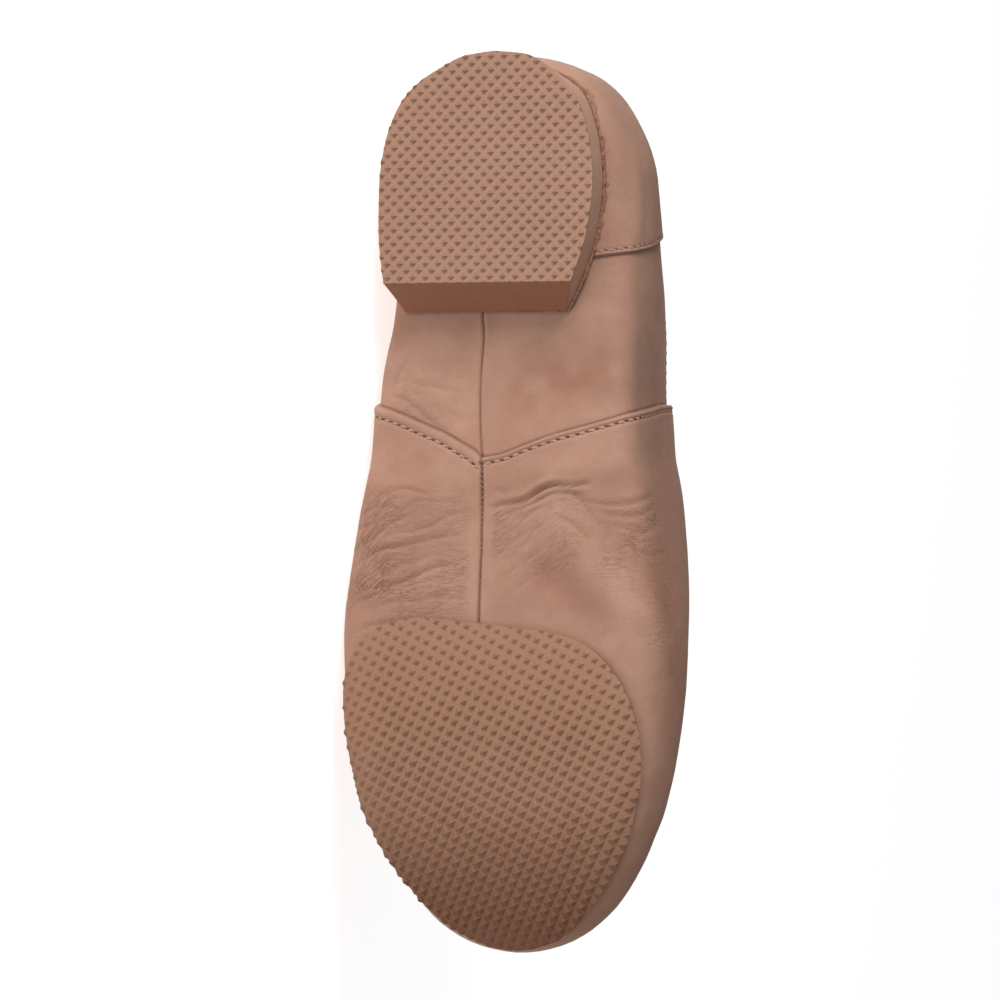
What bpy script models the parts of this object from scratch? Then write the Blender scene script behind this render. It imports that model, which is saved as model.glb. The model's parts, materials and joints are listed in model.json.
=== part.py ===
"""Left jazz shoe: soft slip-on leather upper, split rubber sole, lying on its outer side.

Shoe frame: x runs from the back of the heel to the toe, y to the outer (lateral) side,
z up from the plane on which both treads would stand. The whole shoe is turned at the end,
so that it lies on its lateral side, toe to +X and treads to -Y.
"""

from collections import namedtuple
from math import cos, pi, radians, sin

import bmesh
import bpy
import numpy as np
from mathutils import Matrix, Vector

# Driving sizes, in metres
LENGTH = 0.2405  # upper, back of the heel to the tip of the toe
BALL_WIDTH = 0.0945  # upper, at the ball of the foot
HEEL_WIDTH = 0.0690  # upper, across the heel
THROAT_HEIGHT = 0.0660  # top of the instep where the opening starts
TOE_HEIGHT = 0.0270  # top of the toe box
BACK_HEIGHT = 0.0680  # collar at the back
SIDE_HEIGHT = 0.0520  # collar at its lowest, below the ankle
WALL = 0.0018  # leather and lining together
LAP_STEP = 0.0012  # folded hem of the vamp over the quarter
LAP_FADE = 0.0150  # length over which the vamp sinks back to the quarter's level
COUNTER_STEP = 0.0009  # heel counter over the quarter
HEEL_HEIGHT = 0.0125  # rubber block under the middle of the seat
BLOCK_LENGTH = 0.0612  # tread of the heel block, back to breast
BLOCK_INSET = 0.0087  # the block's tread is this much narrower than the heel
BLOCK_WIDTH = HEEL_WIDTH - BLOCK_INSET
BREAST_SLANT = 0.0072  # the block's front leans forward by this much
BLOCK_TAPER = 0.0010  # each side of the block leans in by this much
PATCH_THICKNESS = 0.0025  # rubber of the forefoot sole
ARCH_RISE = 0.0012  # arch above the line from seat to ball
TOE_SPRING = 0.0095  # lift of the bottom at the tip of the toe
INSOLE_THICKNESS = 0.0016
CLEARANCE = 0.0003  # between two glued pieces
EDGE_ROUND = 0.0005  # rounding of the rubber edges
STEP_HALF = 0.00022  # half the run of a step in the wall

# Places along the length, as shares of it
HEEL_CENTRE = 0.142
TOE_CENTRE = 0.832
THROAT = 0.467
COUNTER_FRONT = 0.222
LAP_SIDE = 0.382  # where the hem passes the widest line of the lateral side

# The hem's V under the arch and the lean of both stitched edges up the sides
LAP_POINT = 0.0165  # the V's point lies this far ahead of its lateral end
LAP_POINT_OUT = 0.10  # and this share of the half width to the lateral side of the middle
LAP_MEDIAL = 0.0053  # the medial end lies this far ahead of the lateral end
LAP_TOP_LATERAL = -0.0040  # at the collar, against the lateral end
LAP_TOP_MEDIAL = 0.0010
COUNTER_LEAN = 0.0090  # the counter's edge runs back by this much on its way up

# How far along the shoe the bend of the columns at a stitched edge fades out
COUNTER_FADE = 0.345
LAP_FADE_BACK = 0.255
LAP_FADE_FRONT = 0.680

# Widths pass from the heel's to the ball's between these places
HEEL_WIDTH_TO = 0.21
BALL_WIDTH_FROM = 0.68

# The ridge of the vamp lies to the medial side by this share of the ball width
RIDGE_MEDIAL = 0.045
RIDGE_STARTS = 0.30
RIDGE_FULL = 0.60

Width = namedtuple("Width", "at lateral medial")
Height = namedtuple("Height", "at seat arch spring top")
Shape = namedtuple("Shape", "at flat edge level side side_up shoulder shoulder_up crown")
Corner = namedtuple("Corner", "degrees lateral medial")
Side = namedtuple("Side", "along lateral medial")
Place = namedtuple("Place", "along across")
Collar = namedtuple("Collar", "at back throat")

# Half widths, as shares of the width that belongs to each place
WIDTHS = (
    Width(0.142, 0.503, 0.485),
    Width(0.208, 0.512, 0.498),
    Width(0.250, 0.503, 0.502),
    Width(0.300, 0.504, 0.486),
    Width(0.350, 0.516, 0.458),
    Width(0.392, 0.506, 0.442),
    Width(0.437, 0.499, 0.444),
    Width(0.500, 0.500, 0.460),
    Width(0.562, 0.498, 0.476),
    Width(0.625, 0.500, 0.488),
    Width(0.687, 0.493, 0.490),
    Width(0.730, 0.480, 0.484),
    Width(0.780, 0.458, 0.468),
    Width(0.832, 0.426, 0.438),
)

# Bottom line as shares of seat height, arch rise and toe spring, and the ridge above it
HEIGHTS = (
    Height(0.000, 1.000, 0.00, 0.00, 1.27),
    Height(0.142, 1.000, 0.00, 0.00, 1.27),
    Height(0.250, 0.990, 0.00, 0.00, 1.26),
    Height(0.333, 0.890, 0.60, 0.00, 1.22),
    Height(0.400, 0.720, 1.00, 0.00, 1.14),
    Height(0.467, 0.500, 0.90, 0.00, 1.00),
    Height(0.540, 0.260, 0.50, 0.00, 0.80),
    Height(0.625, 0.060, 0.12, 0.00, 0.54),
    Height(0.690, 0.000, 0.00, 0.00, 0.39),
    Height(0.770, 0.000, 0.00, 0.00, 0.25),
    Height(0.832, 0.000, 0.00, 0.06, 0.17),
    Height(0.885, 0.000, 0.00, 0.26, 0.10),
    Height(0.940, 0.000, 0.00, 0.60, 0.04),
    Height(1.000, 0.000, 0.00, 1.00, 0.00),
)

# Form of the sections, as shares of half width and height
SHAPES = (
    Shape(0.142, 0.70, 0.96, 0.17, 0.99, 0.42, 0.78, 0.62, 0.36),
    Shape(0.230, 0.70, 0.97, 0.17, 1.00, 0.43, 0.84, 0.65, 0.42),
    Shape(0.350, 0.70, 0.99, 0.15, 1.00, 0.42, 0.94, 0.72, 0.56),
    Shape(0.467, 0.66, 0.99, 0.18, 1.00, 0.46, 0.93, 0.82, 0.50),
    Shape(0.570, 0.65, 0.98, 0.23, 0.99, 0.48, 0.86, 0.84, 0.44),
    Shape(0.690, 0.66, 0.96, 0.28, 0.98, 0.52, 0.80, 0.84, 0.40),
    Shape(0.832, 0.66, 0.95, 0.32, 0.98, 0.56, 0.80, 0.86, 0.42),
)
BACK_SHAPE = Shape(0.0, 0.70, 0.97, 0.13, 1.00, 0.33, 0.94, 0.60, 0.60)
EDGE_LIFT = 0.12  # of the level where the section is widest, at the bottom's edge
BACK_TOP = 1.62  # the back rises straighter than the sides

# Outline of the round ends against an ellipse, by the angle from straight ahead
TOE_OUTLINE = (
    Corner(0, 1.000, 1.000),
    Corner(15, 0.995, 0.995),
    Corner(30, 0.970, 0.980),
    Corner(45, 0.930, 0.955),
    Corner(60, 0.905, 0.935),
    Corner(75, 0.928, 0.946),
    Corner(90, 1.000, 1.000),
)
HEEL_OUTLINE = (
    Corner(0, 1.000, 1.000),
    Corner(30, 0.985, 1.005),
    Corner(60, 0.985, 0.975),
    Corner(90, 1.000, 1.000),
)

# Collar: its rise from the lowest point to the back and to the throat
COLLAR = (
    Collar(-0.05, 1.00, 0.00),
    Collar(0.02, 0.97, 0.00),
    Collar(0.08, 0.62, 0.00),
    Collar(0.15, 0.22, 0.00),
    Collar(0.24, 0.00, 0.00),
    Collar(0.31, 0.00, 0.07),
    Collar(0.37, 0.00, 0.27),
    Collar(0.42, 0.00, 0.58),
    Collar(0.467, 0.00, 1.00),
)

# Sides of the heel block, as shares of its length and width, back to front
BLOCK_SIDES = (
    Side(0.000, 0.013, -0.013),
    Side(0.015, 0.142, 0.125),
    Side(0.060, 0.250, 0.222),
    Side(0.120, 0.357, 0.292),
    Side(0.190, 0.433, 0.358),
    Side(0.280, 0.487, 0.400),
    Side(0.400, 0.527, 0.433),
    Side(0.560, 0.550, 0.449),
    Side(0.760, 0.553, 0.428),
    Side(1.000, 0.528, 0.350),
    Side(1.130, 0.510, 0.282),
)
BLOCK_CENTRE = Place(0.45, 0.045)

# Outline of the forefoot sole laid flat, as shares of LENGTH and BALL_WIDTH
PATCH_OUTLINE = (
    Place(0.633, 0.060),
    Place(0.627, 0.190),
    Place(0.632, 0.300),
    Place(0.650, 0.385),
    Place(0.690, 0.448),
    Place(0.745, 0.462),
    Place(0.800, 0.442),
    Place(0.860, 0.388),
    Place(0.915, 0.300),
    Place(0.960, 0.190),
    Place(0.985, 0.060),
    Place(0.988, -0.060),
    Place(0.970, -0.180),
    Place(0.930, -0.285),
    Place(0.875, -0.365),
    Place(0.810, -0.412),
    Place(0.750, -0.418),
    Place(0.695, -0.378),
    Place(0.655, -0.285),
    Place(0.640, -0.170),
    Place(0.636, -0.060),
)
PATCH_CENTRE = Place(0.800, 0.020)

SAMPLES = 140  # points along one half section
ROWS = 20  # faces from the middle of the bottom to the collar or the ridge
WIDEST_ROW = 10
FAN_STEPS = 6
COUNTER_COLUMNS = (0.0, 0.33, 0.67)  # columns of the upper, as shares of each stretch
QUARTER_COLUMNS = (0.12, 0.34, 0.56, 0.78, 0.93)
LAP_COLUMNS = (0.16, 0.36, 0.56, 0.74, 0.86, 0.94, 0.98, 1.0)
VAMP_COLUMNS = (0.05, 0.13, 0.23, 0.33, 0.45, 0.58, 0.71, 0.85, 1.0)
PATCH_RINGS = (0.0, 0.30, 0.50, 0.66, 0.78, 0.87, 0.94, 1.0)
PATCH_AROUND = 44
BLOCK_RINGS = (0.0, 0.35, 0.65, 0.85, 1.0)
BLOCK_SIDE_STEPS = 14
BLOCK_CROWDING = 1.1
SEAT_REACH = 0.925  # share of the upper's outline that the heel block's top covers
INSOLE_ROWS = 8  # the insole ends this many rows up from the middle of the bottom
NORMAL_STEP = 0.0004  # half the distance over which the surface's normal is taken
MERGE = 1e-6
TINY = 1e-9
SHARP_ANGLE = 40  # degrees between faces whose shared edge is shaded sharp
COLOURS = {
    "upper": ((0.36, 0.215, 0.155, 1.0), 0.55),
    "insole": ((0.50, 0.38, 0.29, 1.0), 0.75),
    "forefoot_sole": ((0.27, 0.15, 0.10, 1.0), 0.80),
    "heel": ((0.30, 0.175, 0.125, 1.0), 0.80),
}


def steady(x, xs, ys):
    """Smooth curve through a table that never overshoots it and stays level between equal values."""
    xs = np.asarray(xs, float)
    ys = np.asarray(ys, float)
    step = np.diff(xs)
    slope = np.diff(ys) / step
    tangent = np.zeros(len(xs))
    same = slope[1:] * slope[:-1] > 0
    w1 = 2 * step[1:] + step[:-1]
    w2 = step[1:] + 2 * step[:-1]
    safe_a = np.where(same, slope[:-1], 1.0)
    safe_b = np.where(same, slope[1:], 1.0)
    tangent[1:-1] = np.where(same, (w1 + w2) / (w1 / safe_a + w2 / safe_b), 0.0)
    tangent[0] = slope[0]
    tangent[-1] = slope[-1]
    x = np.clip(np.asarray(x, float), xs[0], xs[-1])
    k = np.clip(np.searchsorted(xs, x, side="right") - 1, 0, len(xs) - 2)
    t = (x - xs[k]) / step[k]
    a = (1 + 2 * t) * (1 - t) ** 2 * ys[k] + t * (1 - t) ** 2 * step[k] * tangent[k]
    b = t * t * (3 - 2 * t) * ys[k + 1] + t * t * (t - 1) * step[k] * tangent[k + 1]
    return a + b


def column_of(table, name, at, key="at"):
    """One named column of a table, read at these places."""
    return steady(at, [getattr(row, key) for row in table], [getattr(row, name) for row in table])


def ease(t):
    t = np.clip(t, 0.0, 1.0)
    return t * t * (3 - 2 * t)


def local_width(at):
    """Heel width behind, ball width in front, and a smooth change between them."""
    share = (at - HEEL_WIDTH_TO) / (BALL_WIDTH_FROM - HEEL_WIDTH_TO)
    return HEEL_WIDTH + (BALL_WIDTH - HEEL_WIDTH) * ease(share)


def half_width(at):
    both = column_of(WIDTHS, "lateral", at) + column_of(WIDTHS, "medial", at)
    return both * local_width(at) / 2


def spine(at):
    """Across the shoe, the middle between its two sides."""
    apart = column_of(WIDTHS, "lateral", at) - column_of(WIDTHS, "medial", at)
    return apart * local_width(at) / 2


def floor_height(at):
    ball = PATCH_THICKNESS + CLEARANCE
    seat = HEEL_HEIGHT + CLEARANCE
    rise = (seat - ball) * column_of(HEIGHTS, "seat", at)
    arch = ARCH_RISE * column_of(HEIGHTS, "arch", at)
    return ball + rise + arch + TOE_SPRING * column_of(HEIGHTS, "spring", at)


def top_height(at, back):
    share = column_of(HEIGHTS, "top", at)
    share = share + (BACK_TOP - share) * back
    return TOE_HEIGHT + (THROAT_HEIGHT - TOE_HEIGHT) * share


def collar_height(at):
    rise_back = (BACK_HEIGHT - SIDE_HEIGHT) * column_of(COLLAR, "back", at)
    rise_front = (THROAT_HEIGHT - SIDE_HEIGHT) * column_of(COLLAR, "throat", at)
    return SIDE_HEIGHT + rise_back + rise_front


def spline_basis(count, samples):
    """Weights of a clamped cubic B-spline with this many control points."""
    degree = 3
    knots = np.concatenate([np.zeros(degree), np.linspace(0, 1, count - degree + 1), np.ones(degree)])
    t = np.linspace(0, 1, samples)
    last = np.searchsorted(knots, 1.0) - 1
    span = np.minimum(np.searchsorted(knots, t, side="right") - 1, last)
    weights = (span[:, None] == np.arange(len(knots) - 1)).astype(float)
    for d in range(1, degree + 1):
        size = len(knots) - 1 - d
        starts = knots[:size]
        ends = knots[d + 1 : d + 1 + size]
        left = knots[d : d + size] - starts
        right = ends - knots[1 : 1 + size]
        rising = (t[:, None] - starts) / np.where(left > 0, left, 1.0) * (left > 0)
        falling = (ends - t[:, None]) / np.where(right > 0, right, 1.0) * (right > 0)
        weights = rising * weights[:, :size] + falling * weights[:, 1 : size + 1]
    return weights


SECTION_CONTROLS = 10
BASIS = spline_basis(SECTION_CONTROLS, SAMPLES)


def rays(p, q):
    """Where each point of the flat pattern starts on the spine, its direction and its distance."""
    heel, toe = HEEL_CENTRE * LENGTH, TOE_CENTRE * LENGTH
    centre = np.clip(p, heel, toe)
    along = p - centre
    away = np.hypot(along, q)
    unit = np.maximum(away, TINY)
    dx = np.where(away > TINY, along / unit, 0.0)
    dy = np.where(away > TINY, q / unit, 1.0)
    return centre, dx, dy, away


def reach(centre, dx, dy):
    """Plan distance from the spine to the widest line in this direction."""
    at = centre / LENGTH
    half = half_width(at)
    tip = np.where(dx >= 0, (1 - TOE_CENTRE) * LENGTH, HEEL_CENTRE * LENGTH)
    ellipse = 1 / np.sqrt((dx / tip) ** 2 + (dy / half) ** 2)
    angle = np.degrees(np.arctan2(np.abs(dy), np.abs(dx)))
    full = np.ones_like(ellipse)
    for ahead, table in ((True, TOE_OUTLINE), (False, HEEL_OUTLINE)):
        for lateral in (True, False):
            name = "lateral" if lateral else "medial"
            here = (np.abs(dx) > TINY) & ((dx > 0) == ahead) & ((dy >= 0) == lateral)
            full = np.where(here, column_of(table, name, angle, "degrees"), full)
    return ellipse * full


def half_sections(centre, dx, dy):
    """Fine half sections from the spine outwards and up: points, arc lengths, widest and last place."""
    at = centre / LENGTH
    behind = np.clip(-dx, 0, 1) ** 2
    shape = {}
    for name in Shape._fields[1:]:
        side = column_of(SHAPES, name, at)
        shape[name] = side + (getattr(BACK_SHAPE, name) - side) * behind
    one = np.ones_like(at)
    flat = shape["flat"]
    controls_n = [0 * one, flat / 3, 2 * flat / 3, flat, shape["edge"], one]
    controls_n += [shape["side"], shape["shoulder"], shape["crown"], 0 * one]
    controls_h = [0 * one, 0 * one, 0 * one, 0 * one, EDGE_LIFT * shape["level"], shape["level"]]
    controls_h += [shape["side_up"], shape["shoulder_up"], one, one]
    n = np.stack(controls_n, 1) @ BASIS.T
    h = np.stack(controls_h, 1) @ BASIS.T
    n = n / n.max(axis=1, keepdims=True)
    out = n * reach(centre, dx, dy)[:, None]
    x = centre[:, None] + dx[:, None] * out
    low = floor_height(x / LENGTH)
    z = low + (top_height(x / LENGTH, behind[:, None]) - low) * h
    ridge = -RIDGE_MEDIAL * BALL_WIDTH * ease((at - RIDGE_STARTS) / (RIDGE_FULL - RIDGE_STARTS))
    y = spine(at)[:, None] + dy[:, None] * out + ridge[:, None] * ease(h)
    points = np.stack([x, y, z], 2)
    steps = np.linalg.norm(np.diff(points, axis=1), axis=2)
    arc = np.concatenate([np.zeros((len(at), 1)), np.cumsum(steps, axis=1)], 1)
    widest = n.argmax(axis=1)
    over = z - collar_height(x / LENGTH)
    open_here = (x < THROAT * LENGTH - TINY) & (np.arange(SAMPLES) > widest[:, None])
    crossing = open_here & (over > 0)
    first = np.where(crossing.any(axis=1), crossing.argmax(axis=1), SAMPLES - 1)
    row = np.arange(len(at))
    before = over[row, first - 1]
    climb = np.maximum(over[row, first] - before, TINY)
    share = np.where(crossing.any(axis=1), -before / climb, 1.0)
    end = arc[row, first - 1] + (arc[row, first] - arc[row, first - 1]) * share
    return points, arc, arc[row, widest], end


def on_sections(points, arc, distance):
    """The point at this arc length on each section."""
    k = np.clip((arc < distance[:, None]).sum(axis=1), 1, arc.shape[1] - 1)
    row = np.arange(len(k))
    share = (distance - arc[row, k - 1]) / (arc[row, k] - arc[row, k - 1])
    return points[row, k - 1] + (points[row, k] - points[row, k - 1]) * share[:, None]


def surface(p, q):
    """Points of the upper's outer face, for a flat pattern laid on it from below."""
    centre, dx, dy, away = rays(p, q)
    points, arc, _, _ = half_sections(centre, dx, dy)
    return on_sections(points, arc, away)


def surface_normal(p, q):
    """Outward normals at the same places."""
    along = surface(p + NORMAL_STEP, q) - surface(p - NORMAL_STEP, q)
    across = surface(p, q + NORMAL_STEP) - surface(p, q - NORMAL_STEP)
    normal = np.cross(across, along)
    return normal / np.linalg.norm(normal, axis=1, keepdims=True)


def lap_line(side, below):
    """How far the hem lies ahead of its lateral end, on the way to the widest line and at the collar."""
    out = side * below
    lateral = LAP_POINT * (1 - out) / (1 - LAP_POINT_OUT)
    medial = LAP_POINT + (LAP_MEDIAL - LAP_POINT) * (LAP_POINT_OUT - out) / (1 + LAP_POINT_OUT)
    under = np.where(out > LAP_POINT_OUT, lateral, medial)
    top = np.where(side > 0, LAP_TOP_LATERAL, LAP_TOP_MEDIAL)
    return under, top


def stations():
    """Places of the columns between the two round ends, a close pair at each stitched edge."""
    heel, toe = HEEL_CENTRE * LENGTH, TOE_CENTRE * LENGTH
    counter, lap, throat = COUNTER_FRONT * LENGTH, LAP_SIDE * LENGTH, THROAT * LENGTH
    places = [heel + (counter - heel) * share for share in COUNTER_COLUMNS]
    places += [counter - STEP_HALF, counter + STEP_HALF]
    places += [counter + (lap - counter) * share for share in QUARTER_COLUMNS]
    places += [lap - STEP_HALF, lap + STEP_HALF]
    places += [lap + (throat - lap) * share for share in LAP_COLUMNS]
    places += [throat + (toe - throat) * share for share in VAMP_COLUMNS]
    return places


def columns():
    """Every column around the shoe: its place on the spine and its direction."""
    turn = np.linspace(0, pi / 2, FAN_STEPS + 1)[:-1]
    lateral = [(HEEL_CENTRE * LENGTH, -cos(a), sin(a)) for a in turn]
    lateral += [(x, 0.0, 1.0) for x in stations()]
    lateral += [(TOE_CENTRE * LENGTH, cos(a), sin(a)) for a in turn[::-1]]
    medial = [(x, dx, -dy) for x, dx, dy in lateral[-2:0:-1]]
    return np.array(lateral + medial).T


def bent(x, side, below, above):
    """Columns between the round ends, bent so that they follow the stitched edges."""
    heel, lap, counter = HEEL_CENTRE * LENGTH, LAP_SIDE * LENGTH, COUNTER_FRONT * LENGTH
    throat = THROAT * LENGTH
    behind = (x - LAP_FADE_BACK * LENGTH) / (lap - LAP_FADE_BACK * LENGTH)
    ahead = (LAP_FADE_FRONT * LENGTH - x) / (LAP_FADE_FRONT * LENGTH - lap)
    near = ease(np.where(x < lap, behind, ahead))
    under, top = lap_line(side, below)
    top = top * np.where(x < lap, 1.0, ease((throat - x) / (throat - lap)))
    hem = (under * (1 - above) + top * above) * near
    before = (x - heel) / (counter - heel)
    after = (COUNTER_FADE * LENGTH - x) / (COUNTER_FADE * LENGTH - counter)
    lean = COUNTER_LEAN * ((below + above) / 2) ** 2 * ease(np.where(x < counter, before, after))
    return x + hem - lean


def climb(share, cut):
    """Share of the way from the widest line to the ridge, for a row of a column that the collar cuts."""
    first = cut * (1 + (1 - cut) * cut)
    return first * share + (cut - first) * share**4


def grid(row_shares):
    """Points of the upper's base face by column and row, and how far each is raised.

    A row's share runs from 0 on the spine to 1 on the widest line and 2 at the collar or the ridge.
    """
    x, dx, dy = columns()
    middle = np.abs(dx) < TINY
    lap = LAP_SIDE * LENGTH
    sink = (x - lap - STEP_HALF) / LAP_FADE
    raised = np.where(middle & (x > lap), LAP_STEP * (1 - ease(sink)), 0.0)
    raised = np.where((x < COUNTER_FRONT * LENGTH) | (dx < -TINY), COUNTER_STEP, raised)
    _, arc, widest, end = half_sections(np.where(middle, bent(x, dy, 1.0, 1.0), x), dx, dy)
    cut = (end - widest) / (arc[:, -1] - widest)
    rows = []
    for share in row_shares:
        below = min(share, 1.0)
        above = max(share - 1.0, 0.0)
        moved = np.where(middle, bent(x, dy, below, above), x)
        points, arc, widest, _ = half_sections(moved, dx, dy)
        up = (arc[:, -1] - widest) * climb(above, cut)
        rows.append(on_sections(points, arc, widest * below + up))
    return np.stack(rows, 1), np.tile(raised[:, None], (1, len(rows)))


def new_object(name, bm):
    bmesh.ops.recalc_face_normals(bm, faces=bm.faces)
    mesh = bpy.data.meshes.new(name)
    bm.to_mesh(mesh)
    bm.free()
    mesh.shade_smooth()
    mesh.set_sharp_from_angle(angle=radians(SHARP_ANGLE))
    obj = bpy.data.objects.new(name, mesh)
    bpy.context.scene.collection.objects.link(obj)
    colour, roughness = COLOURS[name]
    material = bpy.data.materials.new(name)
    material.use_nodes = True
    shader = material.node_tree.nodes["Principled BSDF"]
    shader.inputs["Base Color"].default_value = colour
    shader.inputs["Roughness"].default_value = roughness
    shader.inputs["Metallic"].default_value = 0.0
    mesh.materials.append(material)
    return obj


def welded_grid(points, steps):
    """Columns closed into a ring, with the shared points of spine, ridge and fans joined."""
    bm = bmesh.new()
    raised = bm.verts.layers.float.new("raised")
    count, rows = points.shape[:2]
    verts = [[bm.verts.new(p) for p in column] for column in points]
    for i in range(count):
        after = verts[(i + 1) % count]
        for j in range(rows - 1):
            bm.faces.new((verts[i][j], after[j], after[j + 1], verts[i][j + 1]))
    for column, row in zip(verts, steps):
        for vert, step in zip(column, row):
            vert[raised] = step
    bmesh.ops.remove_doubles(bm, verts=bm.verts, dist=MERGE)
    bmesh.ops.triangulate(bm, faces=bm.faces, quad_method="SHORT_EDGE")
    bmesh.ops.recalc_face_normals(bm, faces=bm.faces)
    middle = sum((vert.co for vert in bm.verts), Vector()) / len(bm.verts)
    middle.z = THROAT_HEIGHT / 2
    outward = sum(face.normal.dot(face.calc_center_median() - middle) for face in bm.faces)
    if outward < 0:
        bmesh.ops.reverse_faces(bm, faces=bm.faces)
    bm.normal_update()
    return bm, raised


def make_upper():
    below = [k / WIDEST_ROW for k in range(WIDEST_ROW + 1)]
    above = [1 + k / (ROWS - WIDEST_ROW) for k in range(1, ROWS - WIDEST_ROW + 1)]
    bm, raised = welded_grid(*grid(below + above))
    shell = list(bm.verts)
    steps = {vert: vert[raised] for vert in shell}
    rim = [edge for edge in bm.edges if edge.is_boundary]
    inner = {vert: bm.verts.new(vert.co - vert.normal * WALL) for vert in shell}
    for face in list(bm.faces):
        bm.faces.new([inner[vert] for vert in reversed(face.verts)])
    for edge in rim:
        a, b = edge.verts
        bm.faces.new((a, b, inner[b], inner[a]))
    outer = [(vert, vert.co + vert.normal * steps[vert]) for vert in shell]
    for vert, place in outer:
        vert.co = place
    return new_object("upper", bm)


def layer(bm, points):
    return [[bm.verts.new(p) for p in ring] for ring in points]


def join_rings(bm, rings, centre=None):
    """Faces between rings of equal length, and a fan to the centre."""
    count = len(rings[0])
    if centre is not None:
        for k in range(count):
            bm.faces.new((centre, rings[0][k], rings[0][(k + 1) % count]))
    for inner, outer in zip(rings, rings[1:]):
        for k in range(count):
            bm.faces.new((inner[k], outer[k], outer[(k + 1) % count], inner[(k + 1) % count]))


def closed_curve(places, count):
    """A smooth closed curve through the named places, as this many points."""
    around = np.array(places)
    size = len(around)
    t = np.arange(count) * size / count
    k = t.astype(int)
    f = (t - k)[:, None]
    a, b, c, d = (around[(k + shift) % size] for shift in (-1, 0, 1, 2))
    slope = (c - a) / 2
    bend = a - 2.5 * b + 2 * c - d / 2
    twist = (3 * b - a - 3 * c + d) / 2
    return b + slope * f + bend * f**2 + twist * f**3


def patch_outline(count):
    places = [(place.along * LENGTH, place.across * BALL_WIDTH) for place in PATCH_OUTLINE]
    return closed_curve(places, count)


def make_forefoot_sole():
    centre = np.array([PATCH_CENTRE.along * LENGTH, PATCH_CENTRE.across * BALL_WIDTH])
    outline = patch_outline(PATCH_AROUND)
    bm = bmesh.new()
    sheets = []
    for lift, inset in ((CLEARANCE, 0.0), (CLEARANCE + PATCH_THICKNESS, EDGE_ROUND)):
        rings = []
        for share in PATCH_RINGS:
            flat = centre + (outline - centre) * share
            if share == 1.0:
                away = outline - centre
                flat = flat - away / np.linalg.norm(away, axis=1, keepdims=True) * inset
            if share == 0.0:
                flat = flat[:1]
            p, q = flat[:, 0], flat[:, 1]
            rings.append(surface(p, q) + surface_normal(p, q) * lift)
        made = layer(bm, rings)
        join_rings(bm, made[1:], made[0][0])
        sheets.append(made)
    soft = surface(outline[:, 0], outline[:, 1])
    normals = surface_normal(outline[:, 0], outline[:, 1])
    band = layer(bm, [soft + normals * (CLEARANCE + PATCH_THICKNESS - EDGE_ROUND)])[0]
    join_rings(bm, [sheets[0][-1], band])
    join_rings(bm, [band, sheets[1][-1]])
    return new_object("forefoot_sole", bm)


def seat_height(x, y):
    """Height of the upper's underside over a point of the plan, with the counter's step."""
    at = np.clip(x, HEEL_CENTRE * LENGTH, TOE_CENTRE * LENGTH) / LENGTH
    centre, dx, dy, away = rays(x, y - spine(at))
    points, _, _, _ = half_sections(centre, dx, dy)
    plan = np.hypot(points[:, :, 0] - centre[:, None], points[:, :, 1] - spine(at)[:, None])
    heights = []
    for row in range(len(x)):
        last = plan[row].argmax()
        heights.append(np.interp(away[row], plan[row, :last], points[row, :last, 2]))
    return np.array(heights) - COUNTER_STEP


def block_ring(length, taper):
    """Outline of the heel block at one level, from one breast corner round the back to the other."""
    x = length * (1 - np.cos(np.linspace(0, pi / 2, BLOCK_SIDE_STEPS + 1))) ** BLOCK_CROWDING
    line = x / BLOCK_LENGTH
    lean = taper * ease(line / BLOCK_SIDES[4].along)
    lateral = column_of(BLOCK_SIDES, "lateral", line, "along") * BLOCK_WIDTH - lean
    medial = column_of(BLOCK_SIDES, "medial", line, "along") * BLOCK_WIDTH - lean
    return np.concatenate([np.stack([x, lateral], 1)[::-1], np.stack([x, -medial], 1)[1:]])


def under_upper(outline):
    """The same outline, kept where the upper's underside is still nearly level."""
    middle = spine(np.clip(outline[:, 0], HEEL_CENTRE * LENGTH, LENGTH) / LENGTH)
    centre, dx, dy, away = rays(outline[:, 0], outline[:, 1] - middle)
    away = np.minimum(away, SEAT_REACH * reach(centre, dx, dy))
    return np.stack([centre + dx * away, middle + dy * away], 1)


def make_heel():
    low = block_ring(BLOCK_LENGTH, 0.0)
    high = under_upper(block_ring(BLOCK_LENGTH + BREAST_SLANT, BLOCK_TAPER))
    centre = np.array([BLOCK_CENTRE.along * BLOCK_LENGTH, BLOCK_CENTRE.across * BLOCK_WIDTH])
    bm = bmesh.new()
    tread = []
    seat = []
    for share in BLOCK_RINGS:
        here = centre + (low - centre) * share
        above = centre + (high - centre) * share
        if share == 0.0:
            here, above = here[:1], above[:1]
        tread.append(np.column_stack([here, np.zeros(len(here))]))
        top = seat_height(above[:, 0], above[:, 1]) - CLEARANCE
        seat.append(np.column_stack([above, top]))
    edge = tread[-1].copy()
    inward = centre - low
    inward /= np.linalg.norm(inward, axis=1, keepdims=True)
    tread[-1][:, :2] += inward * EDGE_ROUND
    edge[:, 2] = EDGE_ROUND
    bottom = layer(bm, tread)
    band = layer(bm, [edge])[0]
    top = layer(bm, seat)
    join_rings(bm, bottom[1:], bottom[0][0])
    join_rings(bm, [bottom[-1], band])
    join_rings(bm, [band, top[-1]])
    join_rings(bm, top[1:], top[0][0])
    return new_object("heel", bm)


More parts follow.
